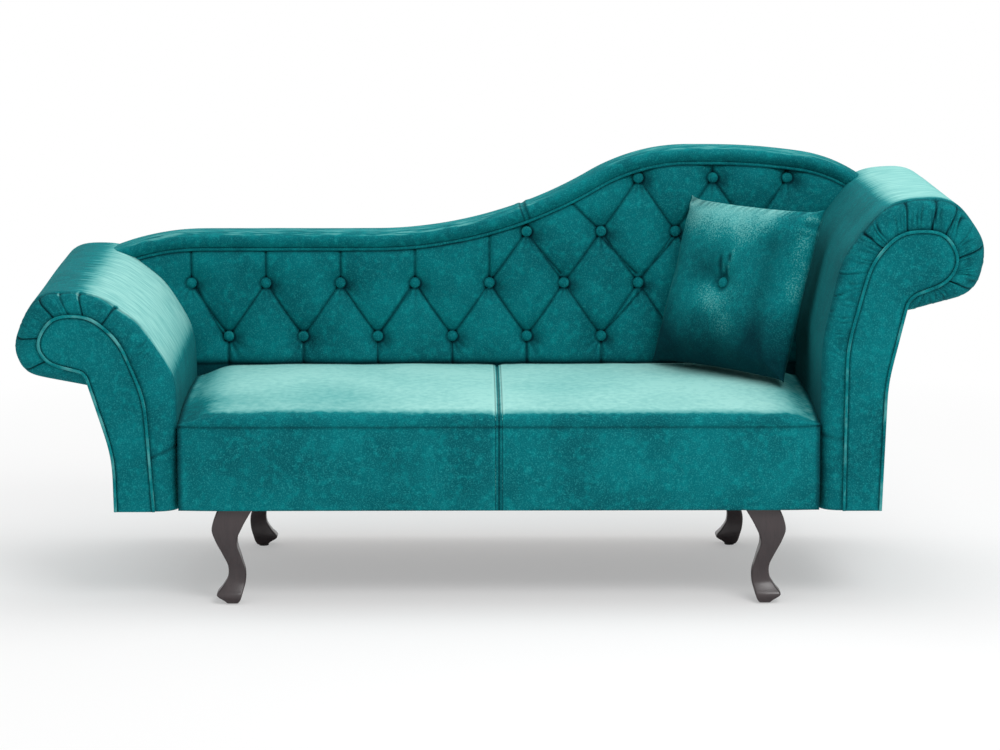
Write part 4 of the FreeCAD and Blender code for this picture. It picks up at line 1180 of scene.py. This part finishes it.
def makePillow():
    piece = newPiece("pillowCase", makePillowMesh())
    inflate(piece, pillow["swell"])
    points = np.array([v.co[:] for v in piece.data.vertices])
    u, v = points[:, 0] / (pillow["width"] / 2), points[:, 1] / (pillow["height"] / 2)
    away = np.hypot(points[:, 0], points[:, 1])
    angle = np.arctan2(points[:, 0], points[:, 1])
    front = points[:, 2] > 0
    pull = pillow["buttonDip"] * np.exp(-(away / pillow["buttonSpread"]) ** 1.3)
    pull += 0.0016 * np.cos(angle * 11) * bump(away - 0.03, 0.028) * smoothStep((away - 0.008) / 0.01)
    gap, signed = nearestFold(points[:, 0], points[:, 1], pillow["wrinkles"])
    pull += 0.0035 * bump(gap, 0.0035) - 0.0016 * bump(signed - 0.006, 0.004)
    edge = np.maximum(np.abs(u), np.abs(v))
    along = np.where(np.abs(u) > np.abs(v), points[:, 1], points[:, 0])
    atTop = 0.2 + 0.8 * smoothStep((v - 0.5) / 0.3)
    pucker = np.cos(along * 330 + 2.0 * np.sin(along * 61)) * bump(edge - 0.90, 0.06) * atTop
    slump = 0.007 * bump(u - 0.62, 0.12) * smoothStep((0.7 - v) / 0.3) * front
    inward = np.minimum(pull - 0.0016 * pucker + slump, np.abs(points[:, 2]) * 0.9)
    points[:, 2] -= np.sign(points[:, 2]) * inward
    ear = pillow["ear"] * smoothStep((np.minimum(np.abs(u), np.abs(v)) - 0.80) / 0.20)
    points[:, 0] += np.sign(u) * ear
    points[:, 1] += np.where(v > 0, ear, 0.0)
    loose = looseNoise(points, 22.0, 21)
    # painted light over the upper left of the face, round the middle, down the right edge, beside the wrinkles
    # and on the puckers, and less of it at the button
    paintedLight = 0.42 * smoothStep((v - 0.20) / 0.7) * smoothStep((0.75 - u) / 0.4) + 0.10 * loose
    paintedLight += 0.22 * bump(np.hypot(u - 0.10, v + 0.22), 0.42)
    paintedLight += 0.16 * bump(u - 0.86, 0.09) * smoothStep((v + 0.4) / 0.5)
    paintedLight += 0.14 * bump(signed - 0.006, 0.0035) + 0.16 * np.maximum(pucker, 0)
    paintedLight *= np.where(away < 0.02, 0.3, 1.0)
    # painted shade over the lower part, on the right and the left, in the wrinkles, round the button, in a
    # patch beside it, in the puckers and along the edge seam
    paintedShade = 0.85 * smoothStep((-v - 0.12) / 0.8) + 0.42 * bump(u - 0.60, 0.13) * smoothStep((0.75 - v) / 0.3)
    paintedShade += 0.34 * smoothStep((-u - 0.35) / 0.5) + 0.85 * bump(gap, 0.0022) + 0.7 * bump(away - 0.0135, 0.004)
    paintedShade += 0.55 * bump(np.hypot((u + 0.20) / 1.4, v - 0.12), 0.17) + 0.35 * np.maximum(-pucker, 0)
    paintedShade += 0.5 * bump(edge - 1.0, 0.02)
    piece.data.vertices.foreach_set("co", points.ravel())
    for name, values in (("paintedLight", paintedLight), ("paintedShade", np.minimum(paintedShade, 0.85))):
        layer = piece.data.attributes.new(name, "FLOAT", "POINT")
        layer.data.foreach_set("value", np.maximum(values, 0).astype(np.float32))
    seats = {face: np.mean(points[(away < 0.013) & (points[:, 2] * face > 0), 2]) for face in (1, -1)}
    piece.data.transform(pillowMatrix())
    piece.data.update()
    soften = piece.modifiers.new("Soften", "SUBSURF")
    soften.levels = soften.render_levels = 1
    fit(piece, pillowVelvet, "pillow", ("pillow_cover", "pillow_fill"))
    parts = []
    for face in (1, -1):
        bm = buttonMesh((0, 0, seats[face] + face * 0.0012), (0, 0, face))
        bmesh.ops.transform(bm, matrix=pillowMatrix(), verts=bm.verts)
        parts.append(bm)
    fit(newPiece("pillowButtons", merge(parts)), velvet, "pillow", ("pillow_buttons",))


# Legs: outlines as (height, distance from the leg's axis) in millimetres, drawn for a front leg

leg = {
    "outer": [(0, 15), (6, 21), (18, 37), (34, 26), (52, 16), (70, 15), (95, 25), (122, 38), (145, 45),
              (165, 41), (185, 33)],
    "inner": [(0, -2), (8, -8), (20, -12), (38, -17), (60, -18), (90, -10), (122, -2), (150, -13), (185, -33)],
    "front": [(0, -24), (4, -27), (18, -27), (27, -21), (42, -13), (60, -12), (90, -17), (125, -25), (155, -28),
              (185, -25)],
    "rear": [(0, 8), (20, 11), (45, 10), (75, 12), (120, 21), (150, 26), (185, 25)],
    "rings": 74,
    "edge": 0.0035,             # rounding of the four long edges
    "perCorner": 4,
    "bottom": 0.0025,
}


def makeLegs():
    around = 4 * leg["perCorner"]
    for node in ("leg_front_left", "leg_front_right", "leg_rear_left", "leg_rear_right"):
        toe = 1 if "front" in node else -1          # a rear leg is a front one turned half round
        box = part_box(node)
        side = 1 if box[1][0] > 0 else -1
        kick = side * toe
        wide = max(point[1] for point in leg["outer"]) * 0.001
        axisX = box[1][0] - wide if kick > 0 else box[0][0] + wide
        axisY = (box[0][1] + box[1][1]) / 2
        levels = np.linspace(leg["bottom"], hemZ + 0.001, leg["rings"])
        reach = {}
        for name in ("outer", "inner", "front", "rear"):
            line = smoothLine(leg[name], 120) * 0.001
            reach[name] = np.interp(levels, line[:, 0], line[:, 1])

        def place(column, row):
            corner, step = column % around // leg["perCorner"], column % leg["perCorner"]
            turn = (corner + step / (leg["perCorner"] - 1)) * math.pi / 2
            r = leg["edge"]
            a = np.where((corner == 0) | (corner == 3), reach["outer"][row] - r, reach["inner"][row] + r)
            b = np.where(corner < 2, reach["rear"][row] - r, reach["front"][row] + r)
            return np.stack([axisX + kick * (a + r * np.cos(turn)), axisY + toe * (b + r * np.sin(turn)),
                             levels[row]], axis=1)

        bm = wrapGrid(around, leg["rings"] - 1, place, closed=True, capped=True)
        fit(newPiece("carved" + node.title().replace("_", ""), bm), legWood, nodes=(node,))


makeTuftedBack()
makeBackButtons()
makeLegs()
print("back and legs made")
makeArm("low")
makeArm("high")
print("arms made")
makeRoll()
makeSeat()
print("roll and seat made")
makePillow()
print("pillow made")


# Camera, light and floor

photoView = {"place": (-0.054, -6.53, 1.461), "pitch": 9.28, "turn": 0.515, "lens": 120.1}


studio = {
    "ambient": 0.62,
    "paint": 0.94,
    "fade": (0.6, 2.6, 0.35, 1.0),      # from, to in metres, and how white the floor looks there
}


def addCamera():
    data = bpy.data.cameras.new("photoCamera")
    data.lens = photoView["lens"]
    data.sensor_width = 36.0
    data.clip_end = 100.0
    camera = bpy.data.objects.new("photoCamera", data)
    camera.location = photoView["place"]
    camera.rotation_euler = (math.radians(90 - photoView["pitch"]), 0, -math.radians(photoView["turn"]))
    bpy.context.scene.collection.objects.link(camera)
    bpy.context.scene.camera = camera


def addSoftbox(name, place, aim, size, power):
    data = bpy.data.lights.new(name, "AREA")
    data.shape = "RECTANGLE"
    data.size, data.size_y = size
    data.energy = power
    lamp = bpy.data.objects.new(name, data)
    lamp.location = place
    lamp.rotation_euler = (Vector(aim) - Vector(place)).to_track_quat("-Z", "Y").to_euler()
    bpy.context.scene.collection.objects.link(lamp)


def mixShaders(tree, factor, first, second, out):
    mix = addNode(tree, "MixShader")
    for source, socket in zip((factor, first, second), mix.inputs):
        tree.links.new(source, socket)
    tree.links.new(mix.outputs[0], out.inputs["Surface"])


def addWorld():
    # white to the camera and in reflections, softer as a light
    world = bpy.data.worlds.new("studio")
    world.use_nodes = True
    tree = world.node_tree
    tree.nodes.clear()
    out = addNode(tree, "OutputWorld")
    soft, seen = (addNode(tree, "Background", {"Color": (1, 1, 1, 1), "Strength": strength})
                  for strength in (studio["ambient"], 1.0))
    path = addNode(tree, "LightPath")
    either = addMath(tree, "MAXIMUM", path.outputs["Is Camera Ray"], path.outputs["Is Glossy Ray"])
    mixShaders(tree, either, soft.outputs[0], seen.outputs[0], out)
    bpy.context.scene.world = world


def addFloor():
    bm = bmesh.new()
    bmesh.ops.create_grid(bm, x_segments=1, y_segments=1, size=30.0)
    floor = newPiece("studioFloor", bm, smooth=False)
    material, tree, shader, coords = newMaterial("floor paint")
    tone = studio["paint"]
    setInputs(shader, {"Base Color": (tone, tone, tone, 1), "Roughness": 0.9, "Specular IOR Level": 0.0})
    seen = addNode(tree, "LightPath")
    away = addNode(tree, "VectorMath")
    away.operation = "LENGTH"
    tree.links.new(coords.outputs["Object"], away.inputs[0])
    far = addRange(tree, away.outputs["Value"], *studio["fade"])
    share = addMath(tree, "MULTIPLY", far, seen.outputs["Is Camera Ray"])
    white = addNode(tree, "Emission")
    mixShaders(tree, share, shader.outputs["BSDF"], white.outputs["Emission"], tree.nodes["Material Output"])
    floor.data.materials.append(material)


addCamera()
addWorld()
addFloor()
addSoftbox("keySoftbox", (1.5, -3.2, 3.6), (0, 0, 0.4), (2.4, 1.6), 78.0)
addSoftbox("topSoftbox", (0.4, 0.6, 3.8), (0, 0, 0.4), (3.2, 2.0), 45.0)
scene = bpy.context.scene
scene.view_settings.view_transform = "Standard"
print("camera and light ready")
